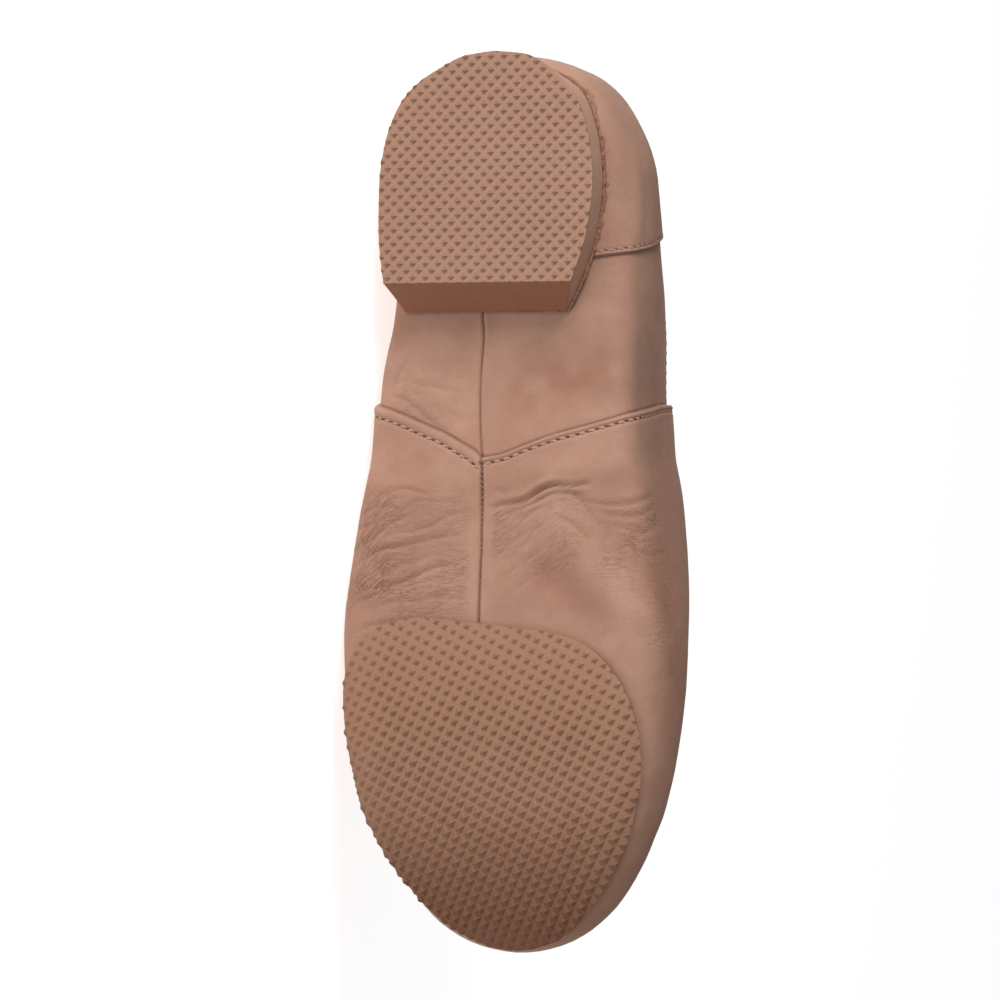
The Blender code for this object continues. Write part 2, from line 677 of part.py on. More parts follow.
def make_insole():
    shares = [k / WIDEST_ROW for k in range(INSOLE_ROWS + 2)]
    base, _ = grid(shares)
    rows = np.tile(np.arange(len(shares), dtype=float), (len(base), 1))
    bm, row_of = welded_grid(base, rows)
    up = {vert: -vert.normal for vert in bm.verts}
    spare = [vert for vert in bm.verts if vert[row_of] > INSOLE_ROWS + 0.5]
    bmesh.ops.delete(bm, geom=spare, context="VERTS")
    sheet = list(bm.verts)
    rim = [edge for edge in bm.edges if edge.is_boundary]
    lift = WALL + CLEARANCE
    above = {vert: bm.verts.new(vert.co + up[vert] * (lift + INSOLE_THICKNESS)) for vert in sheet}
    for face in list(bm.faces):
        bm.faces.new([above[vert] for vert in reversed(face.verts)])
    for edge in rim:
        a, b = edge.verts
        bm.faces.new((a, b, above[b], above[a]))
    for vert in sheet:
        vert.co = vert.co + up[vert] * lift
    return new_object("insole", bm)


def lay_on_side(pieces):
    """Turns the shoe onto the face of its hull that carries it on rubber and leather of the outer side."""
    hull = bmesh.new()
    rubber = hull.verts.layers.int.new("rubber")
    volume = 0.0
    moment = Vector((0, 0, 0))
    for piece in pieces:
        solid = bmesh.new()
        solid.from_mesh(piece.data)
        bmesh.ops.triangulate(solid, faces=solid.faces)
        for face in solid.faces:
            a, b, c = (vert.co for vert in face.verts)
            part = a.dot(b.cross(c)) / 6
            volume += part
            moment += (a + b + c) / 4 * part
        for vert in solid.verts:
            hull.verts.new(vert.co)[rubber] = piece.name in ("heel", "forefoot_sole")
        solid.free()
    middle = moment / volume
    made = bmesh.ops.convex_hull(hull, input=hull.verts)
    spare = [item for item in made["geom_interior"] if isinstance(item, bmesh.types.BMVert)]
    bmesh.ops.delete(hull, geom=spare, context="VERTS")
    bmesh.ops.triangulate(hull, faces=hull.faces)
    down = None
    best = (False, 0.0)
    for face in hull.faces:
        normal = face.normal.copy()
        corners = [vert.co.copy() for vert in face.verts]
        if normal.dot(corners[0] - middle) < 0:
            normal.negate()
            corners.reverse()
        sides = zip(corners, corners[1:] + corners[:1])
        turns = [(b - a).cross(middle - a).dot(normal) for a, b in sides]
        carried = all(turn >= 0 for turn in turns) or all(turn <= 0 for turn in turns)
        both = 0 < sum(vert[rubber] for vert in face.verts) < len(face.verts)
        if carried and normal.y > 0 and (both, normal.y) > best:
            best = (both, normal.y)
            down = normal
    hull.free()
    forward = (Vector((1, 0, 0)) - down * down.x).normalized()
    side = (-down).cross(forward)
    turn = Matrix((forward, side, -down)).to_4x4()
    corners = [turn @ vert.co for piece in pieces for vert in piece.data.vertices]
    low = [min(corner[k] for corner in corners) for k in range(3)]
    high = [max(corner[k] for corner in corners) for k in range(3)]
    shift = Matrix.Translation((-(low[0] + high[0]) / 2, -(low[1] + high[1]) / 2, -low[2]))
    return shift @ turn


for old in list(bpy.data.objects):
    bpy.data.objects.remove(old, do_unlink=True)

shoe = [make_upper(), make_forefoot_sole(), make_heel(), make_insole()]
frame = bpy.data.objects.new("shoe_frame", None)
bpy.context.scene.collection.objects.link(frame)
frame.matrix_world = lay_on_side(shoe)
for piece in shoe:
    piece.parent = frame
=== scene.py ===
"""Looks of the left jazz shoe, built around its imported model.

Every shape is worked out in the shoe's own frame: x from the back of the heel to the toe,
y to the outer (lateral) side, z up from the plane of the treads. It is then turned onto the
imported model, which lies on its lateral side. Reliefs and seams are placed on the flat
pattern of the upper: p along the shoe and q across it, both in millimetres.
"""

import json

from collections import namedtuple
from math import atan2, cos, pi, radians, sin

import bmesh
import bpy
import numpy as np
from mathutils import Matrix, Vector

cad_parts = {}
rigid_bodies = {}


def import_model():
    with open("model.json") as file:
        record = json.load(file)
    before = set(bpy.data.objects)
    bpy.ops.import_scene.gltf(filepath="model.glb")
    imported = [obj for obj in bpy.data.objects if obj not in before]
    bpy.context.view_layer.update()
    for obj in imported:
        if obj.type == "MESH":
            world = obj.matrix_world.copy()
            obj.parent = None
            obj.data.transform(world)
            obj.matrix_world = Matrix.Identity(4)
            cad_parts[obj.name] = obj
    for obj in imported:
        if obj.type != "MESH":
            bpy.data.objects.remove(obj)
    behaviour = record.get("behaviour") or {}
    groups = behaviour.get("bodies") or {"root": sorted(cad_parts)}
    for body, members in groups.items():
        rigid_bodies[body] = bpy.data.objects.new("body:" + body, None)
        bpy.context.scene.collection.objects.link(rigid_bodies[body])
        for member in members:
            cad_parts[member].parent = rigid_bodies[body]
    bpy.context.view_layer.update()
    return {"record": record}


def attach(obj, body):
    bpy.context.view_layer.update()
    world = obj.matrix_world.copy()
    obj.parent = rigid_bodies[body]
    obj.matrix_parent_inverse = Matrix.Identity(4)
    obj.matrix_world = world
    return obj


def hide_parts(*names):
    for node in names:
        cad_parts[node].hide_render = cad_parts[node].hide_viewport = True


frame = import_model()

MM = 0.001

# Driving sizes, in metres
LENGTH = 0.2405  # upper, back of the heel to the tip of the toe
BALL_WIDTH = 0.0945  # upper, at the ball of the foot
HEEL_WIDTH = 0.0690  # upper, across the heel
THROAT_HEIGHT = 0.0660  # top of the instep where the opening starts
TOE_HEIGHT = 0.0270  # top of the toe box
BACK_HEIGHT = 0.0680  # collar at the back
SIDE_HEIGHT = 0.0520  # collar at its lowest, below the ankle
WALL = 0.0018  # leather and lining together
LAP_STEP = 0.0012  # folded hem of the vamp over the quarter
LAP_FADE = 0.0150  # length over which the vamp sinks back to the quarter's level
COUNTER_STEP = 0.0009  # heel counter over the quarter
HEEL_HEIGHT = 0.0125  # rubber block under the middle of the seat
BLOCK_LENGTH = 0.0612  # tread of the heel block, back to breast
BLOCK_INSET = 0.0087  # the block's tread is this much narrower than the heel
BLOCK_WIDTH = HEEL_WIDTH - BLOCK_INSET
BREAST_SLANT = 0.0072  # the block's front leans forward by this much
BLOCK_TAPER = 0.0010  # each side of the block leans in by this much
PATCH_THICKNESS = 0.0025  # rubber of the forefoot sole
ARCH_RISE = 0.0012  # arch above the line from seat to ball
TOE_SPRING = 0.0095  # lift of the bottom at the tip of the toe
INSOLE_THICKNESS = 0.0016
CLEARANCE = 0.0003  # between two glued pieces

# Places along the length, as shares of it
HEEL_CENTRE = 0.142
TOE_CENTRE = 0.832
THROAT = 0.467
COUNTER_FRONT = 0.222
LAP_SIDE = 0.382  # where the hem passes the widest line of the lateral side

# How far along the shoe the bend of the columns at a stitched edge fades out
COUNTER_FADE = 0.345
LAP_FADE_BACK = 0.255
LAP_FADE_FRONT = 0.680

# Widths pass from the heel's to the ball's between these places
HEEL_WIDTH_TO = 0.21
BALL_WIDTH_FROM = 0.68

# The ridge of the vamp lies to the medial side by this share of the ball width
RIDGE_MEDIAL = 0.045
RIDGE_STARTS = 0.30
RIDGE_FULL = 0.60

Width = namedtuple("Width", "at lateral medial")
Height = namedtuple("Height", "at seat arch spring top")
Shape = namedtuple("Shape", "at flat edge level side side_up shoulder shoulder_up crown")
Corner = namedtuple("Corner", "degrees lateral medial")
Side = namedtuple("Side", "along lateral medial")
Place = namedtuple("Place", "along across")
Collar = namedtuple("Collar", "at back throat")


def rows(kind, *values):
    """A table of rows that are read by name."""
    return [kind(*value) for value in values]


# Half widths, as shares of the width that belongs to each place
WIDTHS = rows(
    Width,
    (0.142, 0.503, 0.485), (0.208, 0.512, 0.498), (0.250, 0.503, 0.502), (0.300, 0.504, 0.486),
    (0.350, 0.516, 0.458), (0.392, 0.506, 0.442), (0.437, 0.499, 0.444), (0.500, 0.500, 0.460),
    (0.562, 0.498, 0.476), (0.625, 0.500, 0.488), (0.687, 0.493, 0.490), (0.730, 0.480, 0.484),
    (0.780, 0.458, 0.468), (0.832, 0.426, 0.438),
)

# Bottom line as shares of seat height, arch rise and toe spring, and the ridge above it
HEIGHTS = rows(
    Height,
    (0.000, 1.000, 0.00, 0.00, 1.27), (0.142, 1.000, 0.00, 0.00, 1.27),
    (0.250, 0.990, 0.00, 0.00, 1.26), (0.333, 0.890, 0.60, 0.00, 1.22),
    (0.400, 0.720, 1.00, 0.00, 1.14), (0.467, 0.500, 0.90, 0.00, 1.00),
    (0.540, 0.260, 0.50, 0.00, 0.80), (0.625, 0.060, 0.12, 0.00, 0.54),
    (0.690, 0.000, 0.00, 0.00, 0.39), (0.770, 0.000, 0.00, 0.00, 0.25),
    (0.832, 0.000, 0.00, 0.06, 0.17), (0.885, 0.000, 0.00, 0.26, 0.10),
    (0.940, 0.000, 0.00, 0.60, 0.04), (1.000, 0.000, 0.00, 1.00, 0.00),
)

# Form of the sections, as shares of half width and height
SHAPES = rows(
    Shape,
    (0.142, 0.70, 0.96, 0.17, 0.99, 0.42, 0.78, 0.62, 0.36),
    (0.230, 0.70, 0.97, 0.17, 1.00, 0.43, 0.84, 0.65, 0.42),
    (0.350, 0.70, 0.99, 0.15, 1.00, 0.42, 0.94, 0.72, 0.56),
    (0.467, 0.66, 0.99, 0.18, 1.00, 0.46, 0.93, 0.82, 0.50),
    (0.570, 0.65, 0.98, 0.23, 0.99, 0.48, 0.86, 0.84, 0.44),
    (0.690, 0.66, 0.96, 0.28, 0.98, 0.52, 0.80, 0.84, 0.40),
    (0.832, 0.66, 0.95, 0.32, 0.98, 0.56, 0.80, 0.86, 0.42),
)
BACK_SHAPE = Shape(0.0, 0.70, 0.97, 0.13, 1.00, 0.33, 0.94, 0.60, 0.60)
EDGE_LIFT = 0.12  # of the level where the section is widest, at the bottom's edge
BACK_TOP = 1.62  # the back rises straighter than the sides

# Outline of the round ends against an ellipse, by the angle from straight ahead
TOE_OUTLINE = rows(
    Corner,
    (0, 1.000, 1.000), (15, 0.995, 0.995), (30, 0.970, 0.980), (45, 0.930, 0.955), (60, 0.905, 0.935),
    (75, 0.928, 0.946), (90, 1.000, 1.000),
)
HEEL_OUTLINE = rows(
    Corner,
    (0, 1.000, 1.000), (30, 0.985, 1.005), (60, 0.985, 0.975), (90, 1.000, 1.000),
)

# Collar: its rise from the lowest point to the back and to the throat
COLLAR = rows(
    Collar,
    (-0.05, 1.00, 0.00), (0.02, 0.97, 0.00), (0.08, 0.62, 0.00), (0.15, 0.22, 0.00), (0.24, 0.00, 0.00),
    (0.31, 0.00, 0.07), (0.37, 0.00, 0.27), (0.42, 0.00, 0.58), (0.467, 0.00, 1.00),
)

# Sides of the heel block, as shares of its length and width, back to front
BLOCK_SIDES = rows(
    Side,
    (0.000, 0.013, -0.013), (0.015, 0.142, 0.125), (0.060, 0.250, 0.222), (0.120, 0.357, 0.292),
    (0.190, 0.433, 0.358), (0.280, 0.487, 0.400), (0.400, 0.527, 0.433), (0.560, 0.550, 0.449),
    (0.760, 0.553, 0.428), (1.000, 0.528, 0.350), (1.130, 0.510, 0.282),
)
BLOCK_CENTRE = Place(0.45, 0.045)

# Outline of the forefoot sole laid flat, as shares of LENGTH and BALL_WIDTH
PATCH_OUTLINE = rows(
    Place,
    (0.633, 0.060), (0.627, 0.190), (0.632, 0.300), (0.650, 0.385), (0.690, 0.448), (0.745, 0.462),
    (0.800, 0.442), (0.860, 0.388), (0.915, 0.300), (0.963, 0.192), (0.992, 0.062), (0.996, -0.060),
    (0.976, -0.182), (0.930, -0.285), (0.875, -0.365), (0.810, -0.412), (0.750, -0.418),
    (0.695, -0.378), (0.655, -0.285), (0.640, -0.170), (0.636, -0.060),
)


SAMPLES = 420  # points along one half section
NORMAL_STEP = 0.0004
TINY = 1e-9

# How far the vamp's hem lies ahead of its lateral end: across runs from -2 at the medial
# collar over -1 on the widest line and 0 on the spine to 2 at the lateral collar
Hem = namedtuple("Hem", "across ahead")
HEM = rows(
    Hem,
    (-2.000, 0.0010), (-1.500, 0.0008), (-1.350, 0.0010), (-1.000, 0.0024), (-0.755, 0.0039),
    (-0.640, 0.0055), (-0.536, 0.0069), (-0.437, 0.0082), (-0.323, 0.0096), (-0.220, 0.0113),
    (-0.115, 0.0132), (-0.026, 0.0149), (0.050, 0.0156), (0.076, 0.0158), (0.096, 0.0152),
    (0.136, 0.0138), (0.205, 0.0120), (0.300, 0.0095), (0.428, 0.0070), (0.548, 0.0047),
    (0.646, 0.0031), (0.840, 0.0010), (1.000, -0.0006), (1.500, -0.0026), (2.000, -0.0042),
)

# How far the counter's edge runs back, by the way from the spine as above
Lean = namedtuple("Lean", "across back")
LEAN = rows(
    Lean,
    (0.00, 0.0000), (0.45, 0.0000), (0.65, 0.0009), (0.85, 0.0024), (1.05, 0.0040), (1.30, 0.0060),
    (2.00, 0.0100),
)
COUNTER_AHEAD = 0.0009  # and ahead under the foot

# The seam under the foot, on the flat pattern in millimetres
Spot = namedtuple("Spot", "p q")
SEAM = rows(
    Spot,
    (40.0, 0.0), (62.0, 7.2), (68.4, 7.3), (74.3, 6.5), (85.0, 5.7), (95.0, 5.4), (101.0, 5.0),
    (107.3, 4.3), (110.5, 3.8), (117.3, 3.8), (128.0, 3.9), (143.9, 4.2), (153.2, 4.3), (182.0, 0.0),
)
SEAM_FROM = 64.0
SEAM_TO = 156.0

# Columns beside a stitched edge, in millimetres from it, and before the throat
EDGE_COLUMNS = (-2.6, -1.9, -1.3, -0.85, -0.5, -0.25, -0.08, 0.04, 0.14, 0.28, 0.45, 0.7, 1.0, 1.35)
EDGE_COLUMNS += (1.7, 2.05, 2.4, 2.75, 3.1, 3.45, 3.8, 4.3, 4.9, 5.6)
THROAT_COLUMNS = (3.0, 2.3, 1.7, 1.2, 0.8, 0.5, 0.27, 0.1, 0.0)
FINE_STEP = 0.70
PLAIN_STEP = 1.15
FAN_STEPS = 20
ROW_STEP = 0.76
SEAM_ROWS = (0.0, 0.17, 0.36, 0.6, 0.92, 1.35, 1.9)
ROWS_ABOVE = 40
WIDE = 43.0  # usual way from the spine to the widest line, in millimetres


def steady(x, xs, ys):
    """Smooth curve through a table that never overshoots it and stays level between equal values."""
    xs = np.asarray(xs, float)
    ys = np.asarray(ys, float)
    step = np.diff(xs)
    slope = np.diff(ys) / step
    tangent = np.zeros(len(xs))
    same = slope[1:] * slope[:-1] > 0
    w1 = 2 * step[1:] + step[:-1]
    w2 = step[1:] + 2 * step[:-1]
    safe_a = np.where(same, slope[:-1], 1.0)
    safe_b = np.where(same, slope[1:], 1.0)
    tangent[1:-1] = np.where(same, (w1 + w2) / (w1 / safe_a + w2 / safe_b), 0.0)
    tangent[0] = slope[0]
    tangent[-1] = slope[-1]
    x = np.clip(np.asarray(x, float), xs[0], xs[-1])
    k = np.clip(np.searchsorted(xs, x, side="right") - 1, 0, len(xs) - 2)
    t = (x - xs[k]) / step[k]
    a = (1 + 2 * t) * (1 - t) ** 2 * ys[k] + t * (1 - t) ** 2 * step[k] * tangent[k]
    b = t * t * (3 - 2 * t) * ys[k + 1] + t * t * (t - 1) * step[k] * tangent[k + 1]
    return a + b


def column_of(table, name, at, key="at"):
    """One named column of a table, read at these places."""
    return steady(at, [getattr(row, key) for row in table], [getattr(row, name) for row in table])


def ease(t):
    t = np.clip(t, 0.0, 1.0)
    return t * t * (3 - 2 * t)


def local_width(at):
    """Heel width behind, ball width in front, and a smooth change between them."""
    share = (at - HEEL_WIDTH_TO) / (BALL_WIDTH_FROM - HEEL_WIDTH_TO)
    return HEEL_WIDTH + (BALL_WIDTH - HEEL_WIDTH) * ease(share)


def half_width(at):
    both = column_of(WIDTHS, "lateral", at) + column_of(WIDTHS, "medial", at)
    return both * local_width(at) / 2


def spine(at):
    """Across the shoe, the middle between its two sides."""
    apart = column_of(WIDTHS, "lateral", at) - column_of(WIDTHS, "medial", at)
    return apart * local_width(at) / 2


def floor_height(at):
    ball = PATCH_THICKNESS + CLEARANCE
    seat = HEEL_HEIGHT + CLEARANCE
    rise = (seat - ball) * column_of(HEIGHTS, "seat", at)
    arch = ARCH_RISE * column_of(HEIGHTS, "arch", at)
    return ball + rise + arch + TOE_SPRING * column_of(HEIGHTS, "spring", at)


def top_height(at, back):
    share = column_of(HEIGHTS, "top", at)
    share = share + (BACK_TOP - share) * back
    return TOE_HEIGHT + (THROAT_HEIGHT - TOE_HEIGHT) * share


def collar_height(at):
    rise_back = (BACK_HEIGHT - SIDE_HEIGHT) * column_of(COLLAR, "back", at)
    rise_front = (THROAT_HEIGHT - SIDE_HEIGHT) * column_of(COLLAR, "throat", at)
    return SIDE_HEIGHT + rise_back + rise_front


def spline_basis(count, samples):
    """Weights of a clamped cubic B-spline with this many control points."""
    degree = 3
    knots = np.concatenate([np.zeros(degree), np.linspace(0, 1, count - degree + 1), np.ones(degree)])
    t = np.linspace(0, 1, samples)
    last = np.searchsorted(knots, 1.0) - 1
    span = np.minimum(np.searchsorted(knots, t, side="right") - 1, last)
    weights = (span[:, None] == np.arange(len(knots) - 1)).astype(float)
    for d in range(1, degree + 1):
        size = len(knots) - 1 - d
        starts = knots[:size]
        ends = knots[d + 1 : d + 1 + size]
        left = knots[d : d + size] - starts
        right = ends - knots[1 : 1 + size]
        rising = (t[:, None] - starts) / np.where(left > 0, left, 1.0) * (left > 0)
        falling = (ends - t[:, None]) / np.where(right > 0, right, 1.0) * (right > 0)
        weights = rising * weights[:, :size] + falling * weights[:, 1 : size + 1]
    return weights


SECTION_CONTROLS = 10
BASIS = spline_basis(SECTION_CONTROLS, SAMPLES)


def rays(p, q):
    """Where each point of the flat pattern starts on the spine, its direction and its distance."""
    heel, toe = HEEL_CENTRE * LENGTH, TOE_CENTRE * LENGTH
    centre = np.clip(p, heel, toe)
    along = p - centre
    away = np.hypot(along, q)
    unit = np.maximum(away, TINY)
    dx = np.where(away > TINY, along / unit, 0.0)
    dy = np.where(away > TINY, q / unit, 1.0)
    return centre, dx, dy, away


def reach(centre, dx, dy):
    """Plan distance from the spine to the widest line in this direction."""
    at = centre / LENGTH
    half = half_width(at)
    tip = np.where(dx >= 0, (1 - TOE_CENTRE) * LENGTH, HEEL_CENTRE * LENGTH)
    ellipse = 1 / np.sqrt((dx / tip) ** 2 + (dy / half) ** 2)
    angle = np.degrees(np.arctan2(np.abs(dy), np.abs(dx)))
    full = np.ones_like(ellipse)
    for ahead, table in ((True, TOE_OUTLINE), (False, HEEL_OUTLINE)):
        for lateral in (True, False):
            name = "lateral" if lateral else "medial"
            here = (np.abs(dx) > TINY) & ((dx > 0) == ahead) & ((dy >= 0) == lateral)
            full = np.where(here, column_of(table, name, angle, "degrees"), full)
    return ellipse * full


def half_sections(centre, dx, dy):
    """Fine half sections from the spine outwards and up: points, arc lengths, widest and last place."""
    at = centre / LENGTH
    behind = np.clip(-dx, 0, 1) ** 2
    shape = {}
    for name in Shape._fields[1:]:
        side = column_of(SHAPES, name, at)
        shape[name] = side + (getattr(BACK_SHAPE, name) - side) * behind
    one = np.ones_like(at)
    flat = shape["flat"]
    controls_n = [0 * one, flat / 3, 2 * flat / 3, flat, shape["edge"], one]
    controls_n += [shape["side"], shape["shoulder"], shape["crown"], 0 * one]
    controls_h = [0 * one, 0 * one, 0 * one, 0 * one, EDGE_LIFT * shape["level"], shape["level"]]
    controls_h += [shape["side_up"], shape["shoulder_up"], one, one]
    n = np.stack(controls_n, 1) @ BASIS.T
    h = np.stack(controls_h, 1) @ BASIS.T
    n = n / n.max(axis=1, keepdims=True)
    out = n * reach(centre, dx, dy)[:, None]
    x = centre[:, None] + dx[:, None] * out
    low = floor_height(x / LENGTH)
    z = low + (top_height(x / LENGTH, behind[:, None]) - low) * h
    ridge = -RIDGE_MEDIAL * BALL_WIDTH * ease((at - RIDGE_STARTS) / (RIDGE_FULL - RIDGE_STARTS))
    y = spine(at)[:, None] + dy[:, None] * out + ridge[:, None] * ease(h)
    points = np.stack([x, y, z], 2)
    steps = np.linalg.norm(np.diff(points, axis=1), axis=2)
    arc = np.concatenate([np.zeros((len(at), 1)), np.cumsum(steps, axis=1)], 1)
    widest = n.argmax(axis=1)
    over = z - collar_height(x / LENGTH)
    open_here = (x < THROAT * LENGTH - TINY) & (np.arange(SAMPLES) > widest[:, None])
    crossing = open_here & (over > 0)
    first = np.where(crossing.any(axis=1), crossing.argmax(axis=1), SAMPLES - 1)
    row = np.arange(len(at))
    before = over[row, first - 1]
    climb = np.maximum(over[row, first] - before, TINY)
    share = np.where(crossing.any(axis=1), -before / climb, 1.0)
    end = arc[row, first - 1] + (arc[row, first] - arc[row, first - 1]) * share
    return points, arc, arc[row, widest], end


def on_sections(points, arc, distance):
    """The point at this arc length on each section."""
    k = np.clip((arc < distance[:, None]).sum(axis=1), 1, arc.shape[1] - 1)
    row = np.arange(len(k))
    share = (distance - arc[row, k - 1]) / (arc[row, k] - arc[row, k - 1])
    return points[row, k - 1] + (points[row, k] - points[row, k - 1]) * share[:, None]


def surface(p, q):
    """Points of the upper's outer face, for a flat pattern laid on it from below."""
    centre, dx, dy, away = rays(p, q)
    points, arc, _, _ = half_sections(centre, dx, dy)
    return on_sections(points, arc, away)


def surface_normal(p, q):
    """Outward normals at the same places."""
    along = surface(p + NORMAL_STEP, q) - surface(p - NORMAL_STEP, q)
    across = surface(p, q + NORMAL_STEP) - surface(p, q - NORMAL_STEP)
    normal = np.cross(across, along)
    return normal / np.linalg.norm(normal, axis=1, keepdims=True)


def closed_curve(places, count):
    """A smooth closed curve through the named places, as this many points."""
    around = np.array(places)
    size = len(around)
    t = np.arange(count) * size / count
    k = t.astype(int)
    f = (t - k)[:, None]
    a, b, c, d = (around[(k + shift) % size] for shift in (-1, 0, 1, 2))
    slope = (c - a) / 2
    bend = a - 2.5 * b + 2 * c - d / 2
    twist = (3 * b - a - 3 * c + d) / 2
    return b + slope * f + bend * f**2 + twist * f**3


def patch_outline(count):
    places = [(place.along * LENGTH, place.across * BALL_WIDTH) for place in PATCH_OUTLINE]
    return closed_curve(places, count)


def seat_height(x, y):
    """Height of the upper's underside over a point of the plan, with the counter's step."""
    at = np.clip(x, HEEL_CENTRE * LENGTH, TOE_CENTRE * LENGTH) / LENGTH
    centre, dx, dy, away = rays(x, y - spine(at))
    points, _, _, _ = half_sections(centre, dx, dy)
    plan = np.hypot(points[:, :, 0] - centre[:, None], points[:, :, 1] - spine(at)[:, None])
    heights = []
    for row in range(len(x)):
        last = plan[row].argmax()
        heights.append(np.interp(away[row], plan[row, :last], points[row, :last, 2]))
    return np.array(heights) - COUNTER_STEP


# Creases on the flat pattern: depth and half width of the trough, height of its lips
# against the depth, all in millimetres, and the path
Crease = namedtuple("Crease", "depth width lips path")
CREASES = rows(
    Crease,
    (0.85, 0.60, 0.55, ((121.2, 1.6), (120.1, -3.0), (119.2, -7.8), (117.4, -10.9), (115.8, -13.9),
     (115.0, -17.4), (115.1, -22.0), (114.2, -27.5))),
    (0.50, 0.50, 0.45, ((121.6, -4.5), (120.8, -8.0), (118.9, -12.4), (117.1, -16.1), (117.0, -22.0),
     (118.0, -27.0))),
    (0.45, 0.62, 0.40, ((116.3, -19.0), (118.0, -23.0), (121.6, -26.4), (126.3, -30.6))),
    (0.45, 0.70, 0.35, ((116.6, -18.5), (118.9, -25.5), (119.9, -34.6), (117.4, -46.0))),
    (0.35, 0.70, 0.30, ((117.2, -3.8), (115.9, 0.4))),
    (0.45, 0.78, 0.30, ((122.6, -17.0), (125.0, -22.0), (129.8, -27.5))),
    (0.30, 0.62, 0.30, ((121.8, -30.0), (122.6, -38.0), (120.4, -47.0))),
    (0.28, 0.62, 0.30, ((125.4, -33.0), (126.8, -41.0), (125.0, -49.0))),
    (0.25, 0.62, 0.30, ((130.6, -36.0), (133.0, -43.0), (132.4, -51.0))),
    (0.40, 0.66, 0.35, ((133.7, 38.5), (131.4, 27.0), (129.5, 18.7), (128.0, 9.4))),
    (0.40, 0.66, 0.35, ((134.6, 44.0), (129.7, 36.1), (125.6, 31.0), (122.8, 24.5))),
    (0.50, 0.70, 0.35, ((144.0, 40.0), (141.1, 26.9), (137.5, 18.6), (136.0, 9.5))),
    (0.26, 0.62, 0.35, ((118.8, 36.0), (116.1, 26.9), (118.3, 18.0))),
    (0.32, 0.62, 0.35, ((128.3, 33.5), (126.8, 21.2), (122.9, 13.1), (121.3, 7.1))),
    (0.30, 0.62, 0.30, ((148.8, 37.0), (146.4, 28.0), (145.6, 19.0), (143.0, 11.0))),
    (0.26, 0.58, 0.30, ((139.2, 35.0), (136.6, 26.0), (133.2, 17.0))),
    (0.30, 0.62, 0.30, ((155.2, 40.5), (153.0, 35.5), (151.6, 27.9), (150.7, 21.8))),
    (0.34, 0.66, 0.35, ((90.4, 31.6), (93.1, 25.4), (98.0, 19.0), (101.0, 13.6))),
    (0.24, 0.62, 0.35, ((86.3, 30.2), (88.3, 19.8), (89.9, 10.0))),
    (0.28, 0.62, 0.30, ((81.3, 27.2), (84.4, 29.6), (90.0, 31.0))),
    (0.18, 0.58, 0.30, ((94.5, 18.0), (96.0, 12.5), (97.6, 8.4))),
    (0.20, 0.62, 0.30, ((139.6, -1.5), (133.6, -10.0), (127.0, -18.0))),
    (0.18, 0.58, 0.30, ((145.4, -3.0), (140.0, -9.0), (136.0, -15.5))),
    (0.16, 0.58, 0.30, ((134.5, 0.6), (129.2, -6.0), (125.6, -11.0))),
    (0.30, 0.50, 0.35, ((124.5, 42.0), (121.0, 34.0), (121.5, 26.0))),
    (0.30, 0.50, 0.35, ((138.0, 43.0), (134.0, 36.0), (131.8, 30.0), (132.4, 22.0))),
    (0.28, 0.45, 0.35, ((127.0, 40.0), (123.4, 30.0), (119.6, 22.0), (119.8, 14.0))),
    (0.26, 0.45, 0.35, ((149.0, 44.0), (144.6, 34.0), (141.8, 24.0), (139.6, 15.0))),
    (0.24, 0.45, 0.35, ((131.2, 16.0), (126.0, 12.6), (124.4, 8.0))),
    (0.26, 0.45, 0.35, ((128.0, -4.5), (123.5, -8.5), (120.6, -13.0))),
    (0.24, 0.45, 0.35, ((132.0, -7.5), (127.4, -10.5), (123.4, -15.5))),
    (0.24, 0.45, 0.35, ((119.0, -24.0), (121.6, -30.0), (123.6, -36.5), (123.0, -43.0))),
    (0.22, 0.45, 0.35, ((120.4, -20.5), (123.8, -26.0), (126.4, -33.0))),
)

# Long soft swells: height or depth, half width and path
Swell = namedtuple("Swell", "height width path")
SWELLS = rows(
    Swell,
    (2.00, 5.4, ((120.5, -17.0), (129.4, -24.5), (138.7, -30.8), (146.3, -37.0), (154.0, -42.5),
     (166.0, -46.5))),
    (-1.00, 4.6, ((123.0, -35.0), (132.0, -43.0), (143.0, -50.5), (153.0, -55.0))),
    (-1.05, 5.4, ((126.0, -8.5), (138.0, -14.5), (147.0, -22.0), (158.0, -29.0))),
    (0.85, 3.6, ((112.6, -6.0), (112.2, -16.0), (111.0, -28.0), (110.0, -40.0))),
    (0.40, 3.0, ((124.4, -8.0), (121.6, -14.0), (121.8, -19.0))),
    (-0.55, 2.8, ((20.0, -31.0), (28.0, -32.2), (38.0, -32.6), (48.0, -31.6), (58.0, -29.0))),
    (0.50, 2.6, ((22.0, -35.6), (32.0, -36.8), (42.0, -37.0), (50.0, -36.4))),
    (-0.40, 6.0, ((74.0, 16.0), (88.0, 14.0), (100.0, 10.0))),
    (-0.45, 7.0, ((72.0, -14.0), (84.0, -20.0), (96.0, -26.0))),
    (0.35, 5.0, ((70.0, -30.0), (84.0, -33.0), (96.0, -38.0))),
    (-0.35, 5.0, ((126.0, 20.0), (136.0, 24.0), (146.0, 26.0))),
    (0.30, 4.0, ((116.0, 30.0), (120.0, 20.0), (121.0, 12.0))),
)

